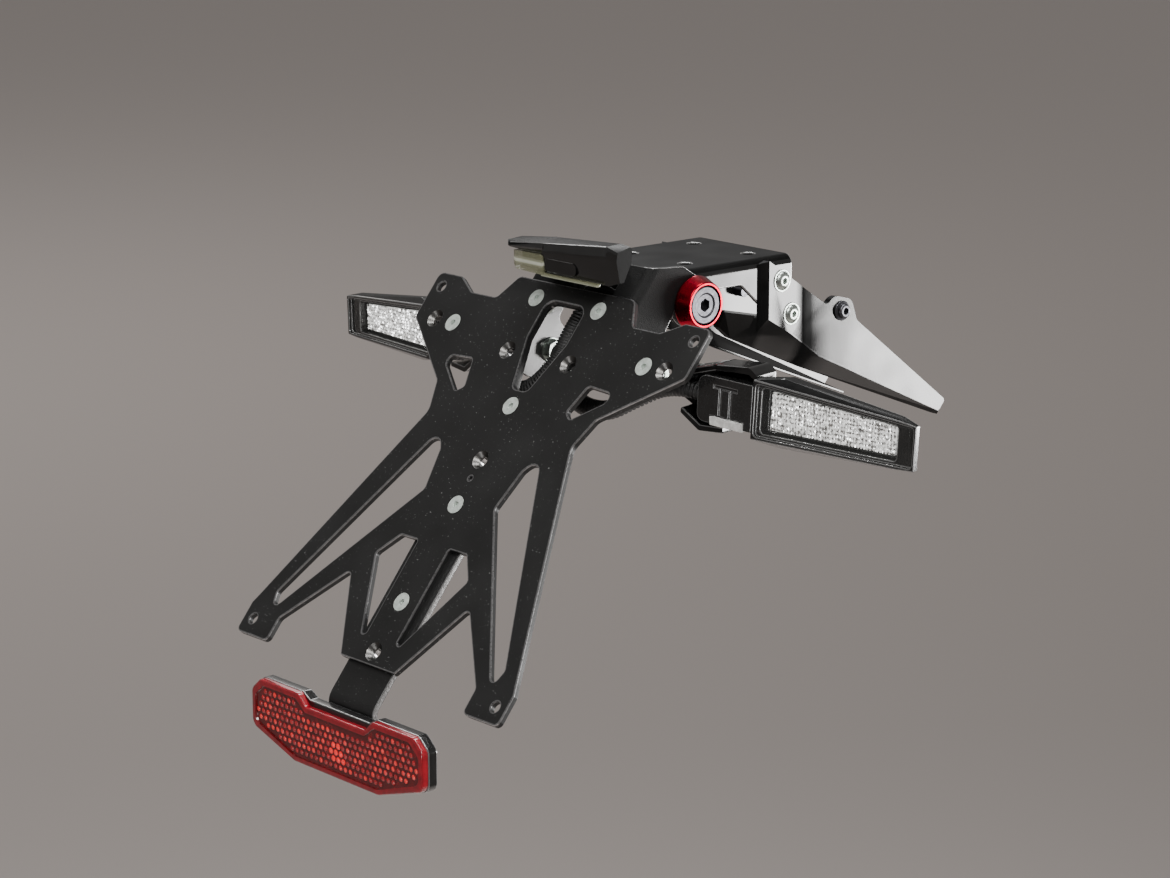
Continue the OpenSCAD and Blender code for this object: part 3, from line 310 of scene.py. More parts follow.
def dress(node, finish, radius_mm, edge_finish=None, other_finish=None, pick=None):
    """Stands a soft-edged copy in for a CAD node. The rounds may have a finish of their own, and
    so may the faces that pick chooses by their normal and centre."""
    solid = frame["nodes"][node].data
    tree = BVHTree.FromPolygons([v.co.copy() for v in solid.vertices],
                                [tuple(f.vertices) for f in solid.polygons])
    area = sum(f.area for f in solid.polygons)
    stray = MOST_STRAY * radius_mm * MM + 1e-6
    for way in WAYS:
        merge, share, clamp, shortest = way
        bm = copy_of(node, merge)
        if pick:
            for face in bm.faces:
                picked = pick(face.normal, face.calc_center_median())
                face.material_index = OTHER_SLOT if picked else 0
        if share:
            long_enough = [e for e in sharp_edges(bm) if e.calc_length() >= shortest * MM]
            round_edges(bm, long_enough, radius_mm * share, EDGE_SLOT if edge_finish else -1, clamp)
        close = all(tree.find_nearest(v.co)[3] < stray for v in bm.verts)
        mesh = bpy.data.meshes.new(node + "_dressed")
        bm.to_mesh(mesh)
        bm.free()
        mesh.calc_loop_triangles()
        grown = sum(t.area for t in mesh.loop_triangles) / area
        if share == 0 or (close and grown < MOST_GROWTH):
            break
        bpy.data.meshes.remove(mesh)
    if way != WAYS[0]:
        print("fewer or smaller rounds on", node, way)
    finishes = [finish, edge_finish or finish, other_finish or finish]
    obj = link_piece(node + "_dressed", mesh, body_of_node[node], finishes)
    smooth(obj)
    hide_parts(node)


# %% [markdown]
# ## Black coats
# The panel and strap wear a matte coat with a fine grain and a few pale specks of dust. The
# carrier's ears have a coarser, leathery texture. The bracket and blades are smoother and shine
# like satin. Each could be one dark colour, but then the parts would merge: their differing sheen
# is what tells them apart in the photograph. The other three are painted light for second
# finishes: a painted sheen on an inner face, painted shade on faces that stay dark, and paler
# edges that are painted highlights.

# %% Black coats
PATCH_MM = 28
FINE_SHARE, PATCH_SHARE = 0.55, 0.45
DUST_MM = 0.7
DUST_SHADE = 0.22


def black_coat(name, shade, roughness, grain_mm, depth_mm, dust=0.0, coat=0.0, gleam=0.5):
    """Near black, with a fine grain, broad soft patches and, where asked, specks of dust."""
    mat = new_finish(name, (shade, shade, shade * 1.03), 0.0, roughness, Coat_Weight=coat,
                     Coat_Roughness=0.07, Specular_IOR_Level=gleam)
    fine = grain(mat, grain_mm)
    patches = grain(mat, PATCH_MM, 1.0)
    tone = combine(mat, "ADD", combine(mat, "MULTIPLY", fine, FINE_SHARE),
                   combine(mat, "MULTIPLY", patches, PATCH_SHARE))
    if dust:
        specks = ramp(mat, grain(mat, DUST_MM, 0.0), (0.0, 0.0), (0.79, 0.0), (0.83, dust))
        tone = combine(mat, "ADD", tone, specks)
    shades = ramp(mat, tone, (0.3, shade * 0.65), (0.72, shade * 1.35), (1.0, DUST_SHADE))
    drive(mat, "Base Color", shades)
    drive(mat, "Roughness", ramp(mat, patches, (0.3, roughness - 0.06), (0.7, roughness + 0.07)))
    bumps(mat, fine, depth_mm)
    return mat


panel_coat = black_coat("panel_coat", 0.009, 0.46, 0.35, 0.03, dust=0.5, gleam=0.36)
strap_coat = black_coat("strap_coat", 0.009, 0.36, 0.4, 0.03, dust=0.4, gleam=0.4)
ear_coat = black_coat("ear_coat", 0.008, 0.56, 0.55, 0.3, gleam=0.12)
bracket_coat = black_coat("bracket_coat", 0.006, 0.13, 0.6, 0.006)
blade_coat = black_coat("blade_coat", 0.006, 0.1, 0.7, 0.005)
# Painted sheen: a lighter, glossier copy of the coat for the inner face of the carrier's left ear.
painted_sheen_coat = black_coat("painted_sheen_coat", 0.02, 0.24, 0.6, 0.006, coat=1.0, gleam=1.0)
# Painted shade: a darker, duller copy of the black coat, for faces that are to stay dark.
painted_shade_coat = black_coat("painted_shade_coat", 0.004, 0.5, 0.6, 0.02, gleam=0.025)
# Painted highlight: paler, glossy rounds that stand for lamps mirrored along the edges.
edge_highlight = black_coat("edge_highlight", 0.1, 0.22, 0.4, 0.01, coat=1.0, gleam=0.8)
coats = (panel_coat, strap_coat, ear_coat, bracket_coat, blade_coat, painted_sheen_coat, painted_shade_coat,
         edge_highlight)
print("coats:", [coat.name for coat in coats])

# %% [markdown]
# ## The blade's painted sheen and shade
# In the photograph the blade is bright on its pad, dark at the fold and bright again on its broad
# face ahead. The lamp alone leaves the fold too pale, so the coat's mirror strength is painted
# along
# the part: a painted sheen on the pad, from 17 to 37 mm, painted shade on the fold, from 42 to 48
# mm, and a painted sheen again from 62 mm on.

# %% Blade's painted sheen and shade
RAMP_MM = 100
blade_painted_sheen = ((13, 0.06), (17, 0.42), (37, 0.42), (42, 0.0), (48, 0.02), (62, 0.5))


def along_y(mat, stops):
    """A grey that changes along the part's own Y, by (place in mm, grey) stops."""
    tree = mat.node_tree
    split = tree.nodes.new("ShaderNodeSeparateXYZ")
    tree.links.new(part_coordinates(mat), split.inputs["Vector"])
    place = combine(mat, "DIVIDE", split.outputs["Y"], RAMP_MM * MM)
    return ramp(mat, place, *((at / RAMP_MM, grey) for at, grey in stops))


# Painted sheen and shade: the blade's mirror strength follows the place along Y.
drive(blade_coat, "Specular IOR Level", along_y(blade_coat, blade_painted_sheen))
print("blade gloss by place in mm:", dict(blade_painted_sheen))

# %% [markdown]
# ## Bright and dark metal
# The screws are zinc plated, a grey-green silver. The panel's countersinks show dark metal and its
# milled bevel a brighter grey. The collars are turned aluminium, dyed deep red. A pure metal has no
# colour but what it mirrors and can go dark, so the panel's screws and the stem clips are only
# partly metallic and stay pale.

# %% Metals
def bright_metal(name, colour, roughness, grain_mm=0.8, depth_mm=0.01, metallic=1.0):
    mat = new_finish(name, colour, metallic, roughness)
    fine = grain(mat, grain_mm, 3.0)
    drive(mat, "Roughness", ramp(mat, fine, (0.3, roughness - 0.07), (0.7, roughness + 0.1)))
    low, high = tuple(c * 0.82 for c in colour), tuple(min(1, c * 1.1) for c in colour)
    drive(mat, "Base Color", ramp(mat, grain(mat, 2.6), (0.35, low), (0.65, high)))
    bumps(mat, fine, depth_mm)
    return mat


zinc = bright_metal("zinc_plate", (0.42, 0.46, 0.43), 0.3)
cut_metal = bright_metal("cut_metal", (0.09, 0.088, 0.085), 0.34)
clip_metal = bright_metal("clip_metal", (0.85, 0.85, 0.83), 0.4, metallic=0.3)
screw_zinc = bright_metal("screw_zinc", (0.52, 0.57, 0.53), 0.5, 0.5, 0.02, metallic=0.35)
milled_edge = bright_metal("milled_edge", (0.34, 0.34, 0.345), 0.3)
raw_edge = bright_metal("raw_edge", (0.5, 0.5, 0.5), 0.22)
bolt_black = bright_metal("bolt_black", (0.09, 0.09, 0.1), 0.34)
red_dye = bright_metal("red_dye", (0.38, 0.006, 0.022), 0.2, 0.5, 0.004)
metals = (zinc, cut_metal, clip_metal, screw_zinc, milled_edge, raw_edge, bolt_black, red_dye)
print("metals:", [metal.name for metal in metals])

# %% [markdown]
# ## Plastics
# The lamp bodies are glossy moulded black, with painted shade on their upper faces and the plate
# light's ends: a duller, darker black. The conduits, the pivot's friction washers and the grommet
# are rougher, and the diodes sit on white boards.

# %% Plastics
def moulded(name, shade, roughness, coat=0.0, gleam=0.5):
    mat = new_finish(name, (shade, shade, shade * 1.05), 0.0, roughness, Coat_Weight=coat,
                     Coat_Roughness=0.08, Specular_IOR_Level=gleam)
    fine = grain(mat, 1.2)
    drive(mat, "Base Color", ramp(mat, grain(mat, 9), (0.3, shade * 0.75), (0.7, shade * 1.3)))
    drive(mat, "Roughness", ramp(mat, fine, (0.3, roughness - 0.04), (0.7, roughness + 0.06)))
    bumps(mat, fine, 0.01)
    return mat


gloss_black = moulded("gloss_black", 0.006, 0.16, coat=0.4)
# Painted shade: a darker, duller copy of the gloss for faces that are to stay dark.
painted_shade_gloss = moulded("painted_shade_gloss", 0.004, 0.3, gleam=0.04)
satin_black = moulded("satin_black", 0.008, 0.24, coat=0.5)
rib_black = moulded("rib_black", 0.02, 0.5)
soft_black = moulded("soft_black", 0.018, 0.62)
board = moulded("board_white", 0.6, 0.4)
plastics = (gloss_black, painted_shade_gloss, satin_black, rib_black, soft_black, board)
print("plastics:", [plastic.name for plastic in plastics])

# %% [markdown]
# ## Lenses and the mirror's metal
# A clear lens could bend light as glass does, but the mirror behind it would sink into shadow, so
# the lens lets most light straight through and keeps its gloss. The plate light's lens is cloudy,
# yellowish and striped. The mirror's metal gives off a little light of its own in a fine pattern of
# cells, to stand for the flash that a real one throws back.

# %% Lenses and mirror metal
LENS_ROUGHNESS = 0.06


def lens_clear(name, colour, alpha):
    mat = new_finish(name, colour, 0.0, LENS_ROUGHNESS,
                     Alpha=alpha, IOR=1.49, Specular_IOR_Level=0.7)
    low, high = LENS_ROUGHNESS * 0.6, LENS_ROUGHNESS * 1.5
    drive(mat, "Roughness", ramp(mat, grain(mat, 6), (0.3, low), (0.7, high)))
    bumps(mat, grain(mat, 8, 1.0), 0.02)
    return mat


clear = lens_clear("clear_lens", (0.2, 0.205, 0.2), 0.05)
light_clear = lens_clear("light_lens", (0.3, 0.31, 0.19), 0.6)
stripes = ramp(light_clear, waves(light_clear, "Z", 6.4),
               (0.25, (0.2, 0.2, 0.12)), (0.75, (0.34, 0.35, 0.24)), (0.97, (0.8, 0.82, 0.68)))
drive(light_clear, "Base Color", stripes)

mirror_metal = bright_metal("mirror_metal", (0.92, 0.93, 0.93), 0.14, 1.5, 0.004)
mirror_metal.node_tree.nodes["Principled BSDF"].inputs["Emission Strength"].default_value = 0.85
cells = combine(mirror_metal, "ADD", waves(mirror_metal, "X", 1.7), waves(mirror_metal, "Z", 2.1))
cells = combine(mirror_metal, "ADD", combine(mirror_metal, "MULTIPLY", cells, 0.13),
                combine(mirror_metal, "MULTIPLY", grain(mirror_metal, 1.5, 1.0), 0.74))
flashes = ramp(mirror_metal, cells, (0.42, 0.0), (0.5, (0.8, 0.8, 0.77)), (0.62, (1.0, 1.0, 0.97)))
drive(mirror_metal, "Emission Color", flashes)
print("lenses:", clear.name, light_clear.name, "mirror:", mirror_metal.name)

# %% [markdown]
# ## Folded, turned and moulded pieces
# Each piece here keeps its solid's shape and gets softened edges. The radius follows how the piece
# is made: larger on mouldings and folded sheet, smaller on nuts and screws.

# %% Finish and radius of each plain piece
plain = {
    "tail_bracket": (bracket_coat, 0.7), "arm_right": (blade_coat, 0.6),
    "arm_left": (blade_coat, 0.6), "pad_screws": (zinc, 0.2), "pad_nuts": (zinc, 0.3),
    "arm_bolts": (bolt_black, 0.25), "pivot_spacer": (zinc, 0.3), "pivot_bolts": (bolt_black, 0.25),
    "collar_right": (red_dye, 0.3), "collar_left": (red_dye, 0.3),
    "pivot_washers": (soft_black, 0.1), "carrier_bracket": (ear_coat, 0.5),
    "panel_nuts": (zinc, 0.3), "reflector_strap": (strap_coat, 0.5),
    "reflector_housing": (gloss_black, 0.6), "reflector_bolt": (zinc, 0.2),
    "light_housing": (gloss_black, 0.8), "light_screws": (zinc, 0.2), "bracket_bolts": (zinc, 0.3),
    "bracket_nuts": (zinc, 0.3), "stem_screws": (zinc, 0.3), "lead_grommet": (soft_black, 0.3),
    "panel_screws": (screw_zinc, 0.15), "light_lens": (light_clear, 0.3),
    "light_leds": (board, 0.1),
}
sides = ("right", "left")
for side in sides:
    plain["indicator_bracket_" + side] = (bracket_coat, 0.6)
    plain["indicator_stem_" + side] = (satin_black, 0.5)
    plain["stem_clip_" + side] = (clip_metal, 0.15)
    plain["indicator_housing_" + side] = (gloss_black, 0.9)
    plain["indicator_lens_" + side] = (clear, 0.4)
    plain["indicator_leds_" + side] = (board, 0.1)
print("plain pieces:", len(plain))

# %% [markdown]
# ## Painted edge highlights and second finishes
# Folded sheet and mouldings get paler edges, a painted highlight. Some pieces also have faces in a
# second finish, such as the strap's cut sides, and they are picked by which way a face points; on
# the bracket, the arms and the lamp housings that finish is painted shade, and on the carrier's
# left ear a painted sheen.

# %% Dress the plain pieces
# Pieces whose rounds get the painted edge highlight.
highlit = {"carrier_bracket", "tail_bracket", "reflector_strap", "reflector_housing", "light_housing"}
for side in sides:
    highlit |= {"arm_" + side, "indicator_bracket_" + side, "indicator_housing_" + side,
             "indicator_stem_" + side}

STEEP = 0.6
# Second finishes by face: painted sheen on the carrier's left ear's inner face, raw metal on the
# strap's cut sides, and painted shade on the bracket's level faces, the arms' faces that don't look
# sideways, the lamp housings' upper faces and the plate light's ends.
others = {
    "carrier_bracket": (painted_sheen_coat, lambda normal, centre: normal.x > STEEP and centre.x < 0),
    "tail_bracket": (painted_shade_coat, lambda normal, centre: abs(normal.z) > STEEP),
    "reflector_strap": (raw_edge, lambda normal, centre: abs(normal.x) > STEEP),
    "light_housing": (painted_shade_gloss, lambda normal, centre: normal.z > 0.4 or abs(normal.x) > STEEP),
}
for side in sides:
    others["arm_" + side] = (painted_shade_coat, lambda normal, centre: abs(normal.x) < STEEP)
    others["indicator_housing_" + side] = (painted_shade_gloss, lambda normal, centre: normal.z > 0.3)
for node, (finish, radius) in plain.items():
    edge_finish = edge_highlight if node in highlit else None
    dress(node, finish, radius, edge_finish, *others.get(node, (None, None)))
print("dressed:", len(plain), "with worn edges:", len(highlit), "with a second finish:", len(others))

# %% [markdown]
# ## The number plate panel
# On the real panel a cutter has run round every edge and left a bright bevel, and the open holes
# show dark cones. The bevel is made as its own strip of faces with the milled metal on it, on the
# outer face only.

# %% Places on the panel
# The panel leans forward at its top. Its holes are in mm right of and above the centre screw.
lean = math.radians(38.7)
panel_up = Vector((0, math.sin(lean), math.cos(lean)))
panel_out = Vector((0, -math.cos(lean), math.sin(lean)))
panel_origin = Vector((0, -0.120, -0.062))
panel_holes = [(0, 0), (23.3, 58.9), (-23.3, 58.9), (72.1, 35.9), (-72.1, 35.9), (0, -56.4),
               (0, -111.2), (86.6, 36), (-86.6, 36), (23, 28.1), (-23, 28.1), (0, -30.9),
               (0, -138.8)]
HOLE_REACH_MM = 5.6


def on_panel(point):
    """How far a point lies right of, above and out from the panel's centre screw, in mm."""
    away = point - panel_origin
    return away.x / MM, away.dot(panel_up) / MM, away.dot(panel_out) / MM


def near_hole(point):
    x, y, _ = on_panel(point)
    return any(math.hypot(x - a, y - b) < HOLE_REACH_MM for a, b in panel_holes)


print("holes and screw seats on the panel:", len(panel_holes))

# %% Panel
CONE_SLOT, BEVEL_MM, FACE_MM = 2, 0.75, 0.05
bm = copy_of("plate_panel")
for face in bm.faces:
    if near_hole(face.calc_center_median()) and abs(face.normal.dot(panel_out)) < 0.98:
        face.material_index = CONE_SLOT
outer = []
for edge in sharp_edges(bm):
    at_hole = near_hole((edge.verts[0].co + edge.verts[1].co) / 2)
    if not at_hole and all(abs(on_panel(v.co)[2]) < FACE_MM for v in edge.verts):
        outer.append(edge)
round_edges(bm, outer, BEVEL_MM, EDGE_SLOT)
mesh = bpy.data.meshes.new("plate_panel_milled")
bm.to_mesh(mesh)
bm.free()
panel_finishes = [panel_coat, milled_edge, cut_metal]
panel = link_piece("plate_panel_milled", mesh, "carrier", panel_finishes)
smooth(panel)
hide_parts("plate_panel")
print("panel faces:", len(mesh.polygons), "bevelled edges:", len(outer))

# %% [markdown]
# ## Corrugated conduits
# The indicator leads run in ribbed conduit. The ribs could be a bump pattern, but their wavy
# outline shows against the light, so a ring of points is swept along the same route as the solid's,
# wide and narrow by turns.

# %% The conduit's route
# In mm from the pivot, which itself is in mm from the part's origin.
lead_route = [(7, -24, 4), (6, -34, -9), (5.6, -41, -17), (5.6, -47, -25), (6, -51.2, -30.4),
              (10, -55, -38), (19, -57.5, -45), (30, -57.5, -47), (41, -55.5, -45.5),
              (52, -49.5, -39), (63, -42.5, -33), (75, -37.5, -31.5), (87.6, -35.6, -32.5)]
pivot = np.array((0, -34.3, -15.8))


def along(route, t):
    """The point at t on a smooth curve through the route, where t counts its points."""
    n = len(route) - 1
    i = min(int(t), n - 1)
    f = t - i
    a, b, c, d = (np.array(route[j], float) for j in (max(i - 1, 0), i, i + 1, min(i + 2, n)))
    square, cube = 2 * a - 5 * b + 4 * c - d, 3 * b - a - 3 * c + d
    return 0.5 * (2 * b + (c - a) * f + square * f ** 2 + cube * f ** 3)


def route_length(route):
    return sum(np.linalg.norm(np.subtract(b, a)) for a, b in zip(route, route[1:]))


print("each conduit is", round(route_length(lead_route)), "mm long")

# %% Conduits
RIB_RADIUS_MM, GROOVE_MM, RIB_PITCH_MM, RING_POINTS = 4.95, 0.9, 1.9, 24
GROOVE_SHARES = (0, 0.1, 1, 1)
A_BIT = 0.02
never_along = (0.31, 0.22, 0.925)


def ribbed_tube(name, route, node):
    n = len(route) - 1
    rings = int(route_length(route) / RIB_PITCH_MM) * len(GROOVE_SHARES)
    verts, faces = [], []
    for k in range(rings + 1):
        t = n * k / rings
        ahead = along(route, min(t + A_BIT, n)) - along(route, max(t - A_BIT, 0))
        ahead /= np.linalg.norm(ahead)
        side = np.cross(ahead, never_along)
        side /= np.linalg.norm(side)
        upward = np.cross(side, ahead)
        r = RIB_RADIUS_MM - GROOVE_MM * GROOVE_SHARES[k % len(GROOVE_SHARES)]
        for j in range(RING_POINTS):
            angle = 2 * math.pi * j / RING_POINTS
            spoke = math.cos(angle) * side + math.sin(angle) * upward
            verts.append((pivot + along(route, t) + r * spoke) * MM)
    for k in range(rings):
        for j in range(RING_POINTS):
            a, b = k * RING_POINTS + j, k * RING_POINTS + (j + 1) % RING_POINTS
            faces.append((a, b, b + RING_POINTS, a + RING_POINTS))
    last_ring = rings * RING_POINTS
    faces += [tuple(reversed(range(RING_POINTS))), tuple(range(last_ring, last_ring + RING_POINTS))]
    mesh = bpy.data.meshes.new(name)
    mesh.from_pydata(verts, [], faces)
    tube = link_piece(name, mesh, "carrier", [rib_black])
    mesh.shade_smooth()
    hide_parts(node)
    return rings // len(GROOVE_SHARES)


ribs = ribbed_tube("conduit_ribs_right", lead_route, "conduit_right")
ribbed_tube("conduit_ribs_left", [(-x, y, z) for x, y, z in lead_route], "conduit_left")
print("ribs on each conduit:", ribs)

# %% [markdown]
# ## Faceted mirrors
# Behind each clear lens sits a bright mirror pressed into small cushions, which scatter the lamps
# into sparkle. A bump pattern would glitter too, but real facets each mirror one spot of the
# studio, so they are made as a grid of little four-sided peaks with depths drawn by lot.

# %% Places on a lamp
# A lamp droops and sweeps forward, and its height tapers from root to tip. Lengths are in mm.
droop, sweep = math.radians(3.5), math.radians(9.6)
lamp_turn = Matrix.Rotation(sweep, 3, "Z") @ Matrix.Rotation(droop, 3, "Y")
lamp_corner = Vector((122, -74.0, -50.1))
LAMP_LENGTH, ROOT_HEIGHT, TIP_HEIGHT, MIRROR_INSET = 92, 29, 22.4, 4.9
MIRROR_START, MIRROR_STOP = 7.7, 77.8
COLUMNS, ROWS = 46, 11


def mirror_point(column, row, depth, side):
    """A place on the mirror's grid, depth in from the lamp's lens side. The left lamp mirrors
    the right one."""
    u = MIRROR_START + (MIRROR_STOP - MIRROR_START) * column / COLUMNS
    half = (ROOT_HEIGHT + (TIP_HEIGHT - ROOT_HEIGHT) * u / LAMP_LENGTH) / 2 - MIRROR_INSET
    point = lamp_corner + lamp_turn @ Vector((u, depth, (2 * row / ROWS - 1) * half))
    return Vector((side * point.x, point.y, point.z)) * MM


print("mirror grid:", COLUMNS, "by", ROWS, "cells")

# %% Mirrors
VALLEY_DEPTH, VALLEY_JITTER, PEAK_DEPTHS, BACK_DEPTH = 5.2, 0.14, (4.35, 5.1), 6.4
COLUMN_JITTER = 0.1


def faceted_mirror(side):
    lots = random.Random(5)
    step = ROWS + 1
    verts, faces = [], []
    for i in range(COLUMNS + 1):
        for j in range(step):
            depth = VALLEY_DEPTH + lots.uniform(-VALLEY_JITTER, VALLEY_JITTER)
            verts.append(mirror_point(i, j, depth, side))
    for i in range(COLUMNS):
        column = i + 0.5 + lots.uniform(-COLUMN_JITTER, COLUMN_JITTER)
        for j in range(ROWS):
            verts.append(mirror_point(column, j + 0.5, lots.uniform(*PEAK_DEPTHS), side))
            a, tip = i * step + j, len(verts) - 1
            ring = (a, a + 1, a + step + 1, a + step)
            faces += [(ring[k], ring[(k + 1) % 4], tip) for k in range(4)]
    rim = list(range(step)) + [i * step + ROWS for i in range(1, COLUMNS + 1)]
    rim += [COLUMNS * step + j for j in reversed(range(ROWS))]
    rim += [i * step for i in reversed(range(1, COLUMNS))]
    first = len(verts)
    verts += [mirror_point(*divmod(k, step), BACK_DEPTH, side) for k in rim]
    for k in range(len(rim)):
        n = (k + 1) % len(rim)
        faces.append((rim[k], first + k, first + n, rim[n]))
    faces.append(tuple(range(first, first + len(rim))))
    name = "right" if side > 0 else "left"
    mesh = bpy.data.meshes.new("faceted_mirror_" + name)
    mesh.from_pydata(verts, [], faces)
    bm = bmesh.new()
    bm.from_mesh(mesh)
    bmesh.ops.recalc_face_normals(bm, faces=bm.faces)
    bm.to_mesh(mesh)
    bm.free()
    piece = link_piece(mesh.name, mesh, "carrier", [mirror_metal])
    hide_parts("indicator_reflector_" + name)
    return len(faces)


print("mirror faces:", faceted_mirror(1) + faceted_mirror(-1))

# %% [markdown]
# ## The red reflector
# A reflector is one red moulding: a smooth rim, and inside it a sunk field of round prisms that
# throws light back. The rim and the field come from the same outline, drawn smaller each time, so
# that the loops join face by face.

# %% Lens sizes and round corners
lens_verts = np.array([tuple(v.co) for v in frame["nodes"]["reflector_lens"].data.vertices]) / MM
lens_front, lens_back = lens_verts[:, 1].min(), lens_verts[:, 1].max()
lens_top = lens_verts[:, 2].max()
RIM_INSET = 0.4
top_edge = lens_top + RIM_INSET
CORNER_STEPS = 5


def rounded(path):
    """A path of (x, z, radius) corners as points, with its corners rounded."""
    points = []
    for i, (x, z, r) in enumerate(path):
        here = Vector((x, z))
        if r == 0:
            points.append(tuple(here))
            continue
        a = (Vector(path[i - 1][:2]) - here).normalized()
        b = (Vector(path[(i + 1) % len(path)][:2]) - here).normalized()
        half = a.angle(b) / 2
        centre = here + (a + b).normalized() * r / math.sin(half)
        start, end = here + a * r / math.tan(half) - centre, here + b * r / math.tan(half) - centre
        turn = start.angle_signed(end)
        for k in range(CORNER_STEPS + 1):
            angle = -turn * k / CORNER_STEPS
            points.append(tuple(centre + Matrix.Rotation(angle, 2) @ start))
    return points


# %% The lens's outline
LENS_HALF_W, LENS_HEIGHT, LENS_NOTCH = 68, 36.5, 5.5


def reflector_outline(inset):
    """The lens's outline as (x, z), with its top edge at height zero."""
    w, top, low = LENS_HALF_W - inset, -inset, -LENS_HEIGHT + inset
    half = [(0, top - LENS_NOTCH, 0), (23.5, top - LENS_NOTCH, 2), (29 + inset / 2, top, 3),
            (w - 7, top, 4), (w, top - 6, 4), (w, low + 10.5, 5), (33, low, 8), (0, low, 0)]
    return rounded(half + [(-x, z, r) for x, z, r in reversed(half) if x])


print("reflector lens front at", round(lens_front, 2), "and top at", round(lens_top, 2), "mm")

# %% Rim and field
# Each loop: how far inside the outline, and its place from back to front in mm. The field lies
# at the last one.
# The sunk field and the step down to it carry painted shade: a deeper red.
RIM, PAINTED_SHADE, FIELD_DEPTH = 0, 1, 0.9
rim_loops = ((RIM_INSET, lens_back), (RIM_INSET, lens_front + 0.9), (0.7, lens_front + 0.35),
             (1.3, lens_front + 0.02), (3.3, lens_front + 0.02), (3.6, lens_front + FIELD_DEPTH))
bm = bmesh.new()
loops = []
for inset, y in rim_loops:
    outline = reflector_outline(inset)
    loops.append([bm.verts.new((x * MM, y * MM, (z + top_edge) * MM)) for x, z in outline])
count = len(loops[0])
for a, b in zip(loops, loops[1:]):
    for i in range(count):
        n = (i + 1) % count
        bm.faces.new((a[i], a[n], b[n], b[i])).material_index = PAINTED_SHADE if b is loops[-1] else RIM
bm.faces.new(loops[0])
bm.faces.new(loops[-1]).material_index = PAINTED_SHADE
print("rim loops:", len(loops), "of", count, "points")

# %% [markdown]
# ## The prisms
# Each prism is a low dome of eight sides, in staggered rows. In the photograph some flash and
# others stay dark, so by lot some are brighter than others, and a few near the middle are the
# brightest.

# %% One prism
# Each ring: its radius, and its height above the field in mm.
PRISM, BRIGHT, CENTRE = 2, 3, 4
PRISM_SIDES = 8
JUST_ABOVE = 0.01
prism_rings = ((1.62, 0.0), (1.3, 0.42), (0.75, 0.7))


def add_prism(bm, x, z, glow):
    rings = []
    for radius, lift in prism_rings:
        y, ring = lens_front + FIELD_DEPTH - JUST_ABOVE - lift, []
        for k in range(PRISM_SIDES):
            angle = 2 * math.pi * k / PRISM_SIDES
            ring.append(bm.verts.new(((x + radius * math.cos(angle)) * MM, y * MM,
                                      (z + top_edge + radius * math.sin(angle)) * MM)))
        rings.append(ring)
    peak = bm.verts.new((x * MM, (lens_front + 0.1) * MM, (z + top_edge) * MM))
    for a, b in zip(rings, rings[1:]):
        for k in range(PRISM_SIDES):
            n = (k + 1) % PRISM_SIDES
            face = bm.faces.new((a[k], a[n], b[n], b[k]))
            # The foot of each dome gets the painted shade, a deeper red.
            face.material_index = glow if a is rings[1] or glow == CENTRE else PAINTED_SHADE
    for k in range(PRISM_SIDES):
        bm.faces.new((rings[-1][k], rings[-1][(k + 1) % PRISM_SIDES], peak)).material_index = glow


# %% Field of prisms
PRISM_PITCH, ROW_PITCH, FIRST_ROW, FIELD_INSET = 3.9, 3.4, -2.8, 5.0
BRIGHT_SHARE, MIDDLE, MIDDLE_REACH = 0.42, (1, -24), 6


def inside(x, z, outline):
    """Whether a point lies in the outline: a line from it to the right crosses it an odd number
    of times."""
    hit = False
    for (x0, z0), (x1, z1) in zip(outline, outline[1:] + outline[:1]):
        if (z0 > z) != (z1 > z) and x < (x1 - x0) * (z - z0) / (z1 - z0) + x0:
            hit = not hit
    return hit


field_edge = reflector_outline(FIELD_INSET)
prisms = 0
lots = random.Random(11)
for row in range(-12, 3):
    for column in range(-20, 21):
        x = (column + 0.5 * (row % 2)) * PRISM_PITCH
        z = FIRST_ROW + row * ROW_PITCH
        if inside(x, z, field_edge):
            prisms += 1
            if math.hypot(x - MIDDLE[0], z - MIDDLE[1]) < MIDDLE_REACH:
                glow = CENTRE
            else:
                glow = BRIGHT if lots.random() < BRIGHT_SHARE else PRISM
            add_prism(bm, x, z, glow)
bmesh.ops.recalc_face_normals(bm, faces=bm.faces)
mesh = bpy.data.meshes.new("prism_reflector")
bm.to_mesh(mesh)
bm.free()
print("prisms:", prisms)

# %% [markdown]
# ## Red plastic
# One red would make the field flat, so five are used, from a deeper red of painted shade on the
# sunk field between the prisms and at their feet, to the bright red of those that flash. The two
# brightest give off a little light of their own, to stand for that flash.

# %% Reds
def red_plastic(name, dark, light, roughness, coat, glow=0.0):
    mat = new_finish(name, light, 0.0, roughness, Coat_Weight=coat, Coat_Roughness=0.06)
    drive(mat, "Base Color", ramp(mat, grain(mat, 4), (0.3, dark), (0.7, light)))
    low, high = roughness * 0.7, roughness * 1.4
    drive(mat, "Roughness", ramp(mat, grain(mat, 3), (0.3, low), (0.7, high)))
    bumps(mat, grain(mat, 6), 0.02)
    if glow:
        shader = mat.node_tree.nodes["Principled BSDF"]
        shader.inputs["Emission Color"].default_value = (*light, 1)
        shader.inputs["Emission Strength"].default_value = glow
    return mat


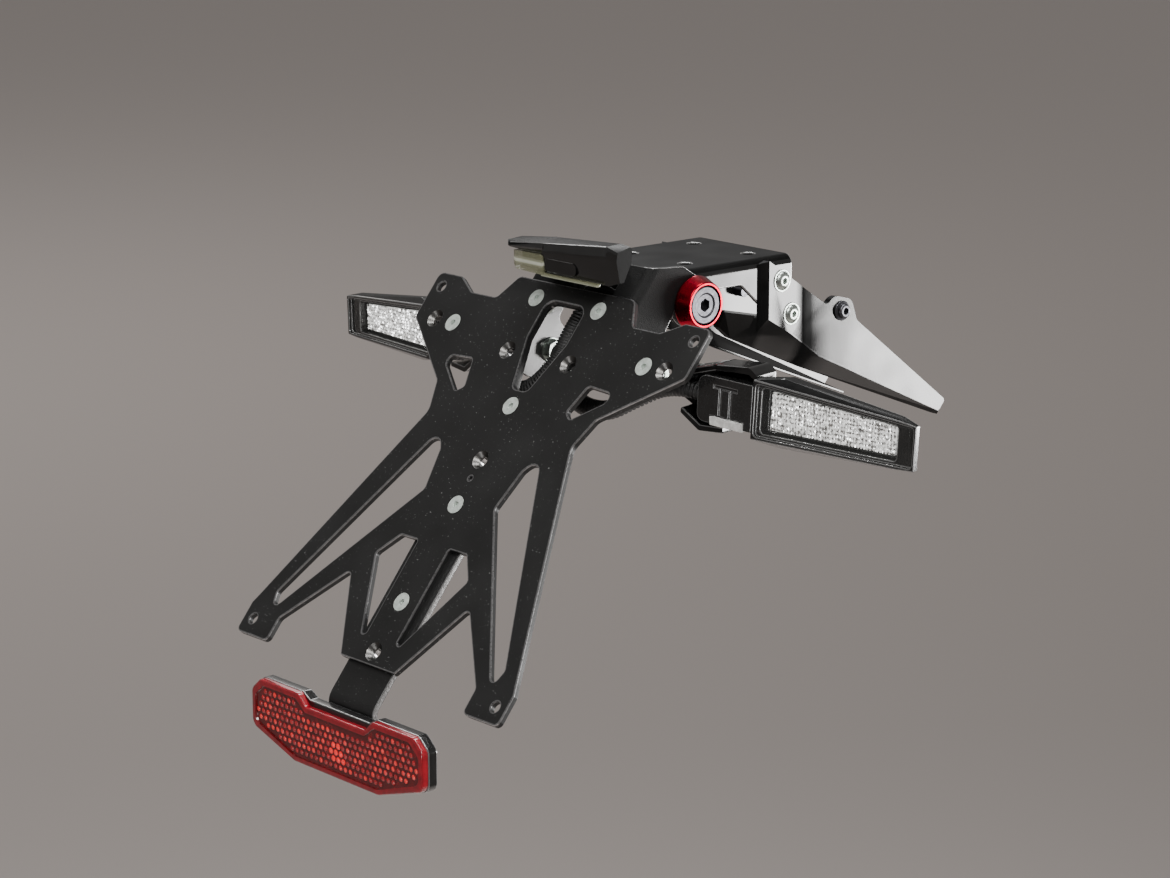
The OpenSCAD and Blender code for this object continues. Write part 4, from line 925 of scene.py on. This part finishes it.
reds = [red_plastic("red_rim", (0.17, 0.002, 0.007), (0.3, 0.003, 0.012), 0.14, 0.9),
        red_plastic("painted_shade_red", (0.07, 0.001, 0.002), (0.15, 0.001, 0.004), 0.16, 0.8),
        red_plastic("prism_red", (0.26, 0.002, 0.005), (0.42, 0.004, 0.008), 0.14, 0.8),
        red_plastic("prism_bright", (0.6, 0.006, 0.01), (0.85, 0.03, 0.02), 0.12, 0.9, 0.1),
        red_plastic("prism_centre", (0.7, 0.006, 0.008), (0.95, 0.02, 0.015), 0.12, 0.9, 0.22)]
reflector = link_piece("prism_reflector", mesh, "carrier", reds)
smooth(reflector, 40)
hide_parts("reflector_lens")
print("reflector faces:", len(mesh.polygons), "in", len(reds), "reds")

# %% [markdown]
# ## Washers under the pad screws
# The pad screws sit on thin bright washers. They are turned shapes, so a ring of points is enough.

# %% Washers
# Places and lengths are in mm, and the places along and up the pad are measured from the pivot.
PAD_FACE, INNER, OUTER, THICK, WASHER_SIDES = 40.02, 4.9, 5.9, 0.5, 36
washer_profile = [(INNER, 0), (OUTER, 0), (OUTER, THICK * 0.6), (OUTER - 0.25, THICK),
                  (INNER + 0.15, THICK), (INNER, THICK * 0.7)]
screw_places = ((61.3, 3.8), (68.3, -14.2))


def washer(name, side, along_pad, up_pad):
    """A flat ring round a pad screw, from the pad's face outward."""
    verts, faces = [], []
    for k in range(WASHER_SIDES):
        angle = 2 * math.pi * k / WASHER_SIDES
        for r, x in washer_profile:
            verts.append((side * (PAD_FACE + x) * MM,
                          (pivot[1] + along_pad + r * math.cos(angle)) * MM,
                          (pivot[2] + up_pad + r * math.sin(angle)) * MM))
    m = len(washer_profile)
    for k in range(WASHER_SIDES):
        for j in range(m):
            a, b = k * m + j, k * m + (j + 1) % m
            c, d = ((k + 1) % WASHER_SIDES) * m + (j + 1) % m, ((k + 1) % WASHER_SIDES) * m + j
            faces.append((a, b, c, d) if side > 0 else (a, d, c, b))
    mesh = bpy.data.meshes.new(name)
    mesh.from_pydata(verts, [], faces)
    smooth(link_piece(name, mesh, "mount", [zinc]))


washers = [(side, name, k, place) for side, name in ((1, "right"), (-1, "left"))
           for k, place in enumerate(screw_places, 1)]
for side, name, k, place in washers:
    washer("pad_washer_%s_%d" % (name, k), side, *place)
print("washers:", len(washers))
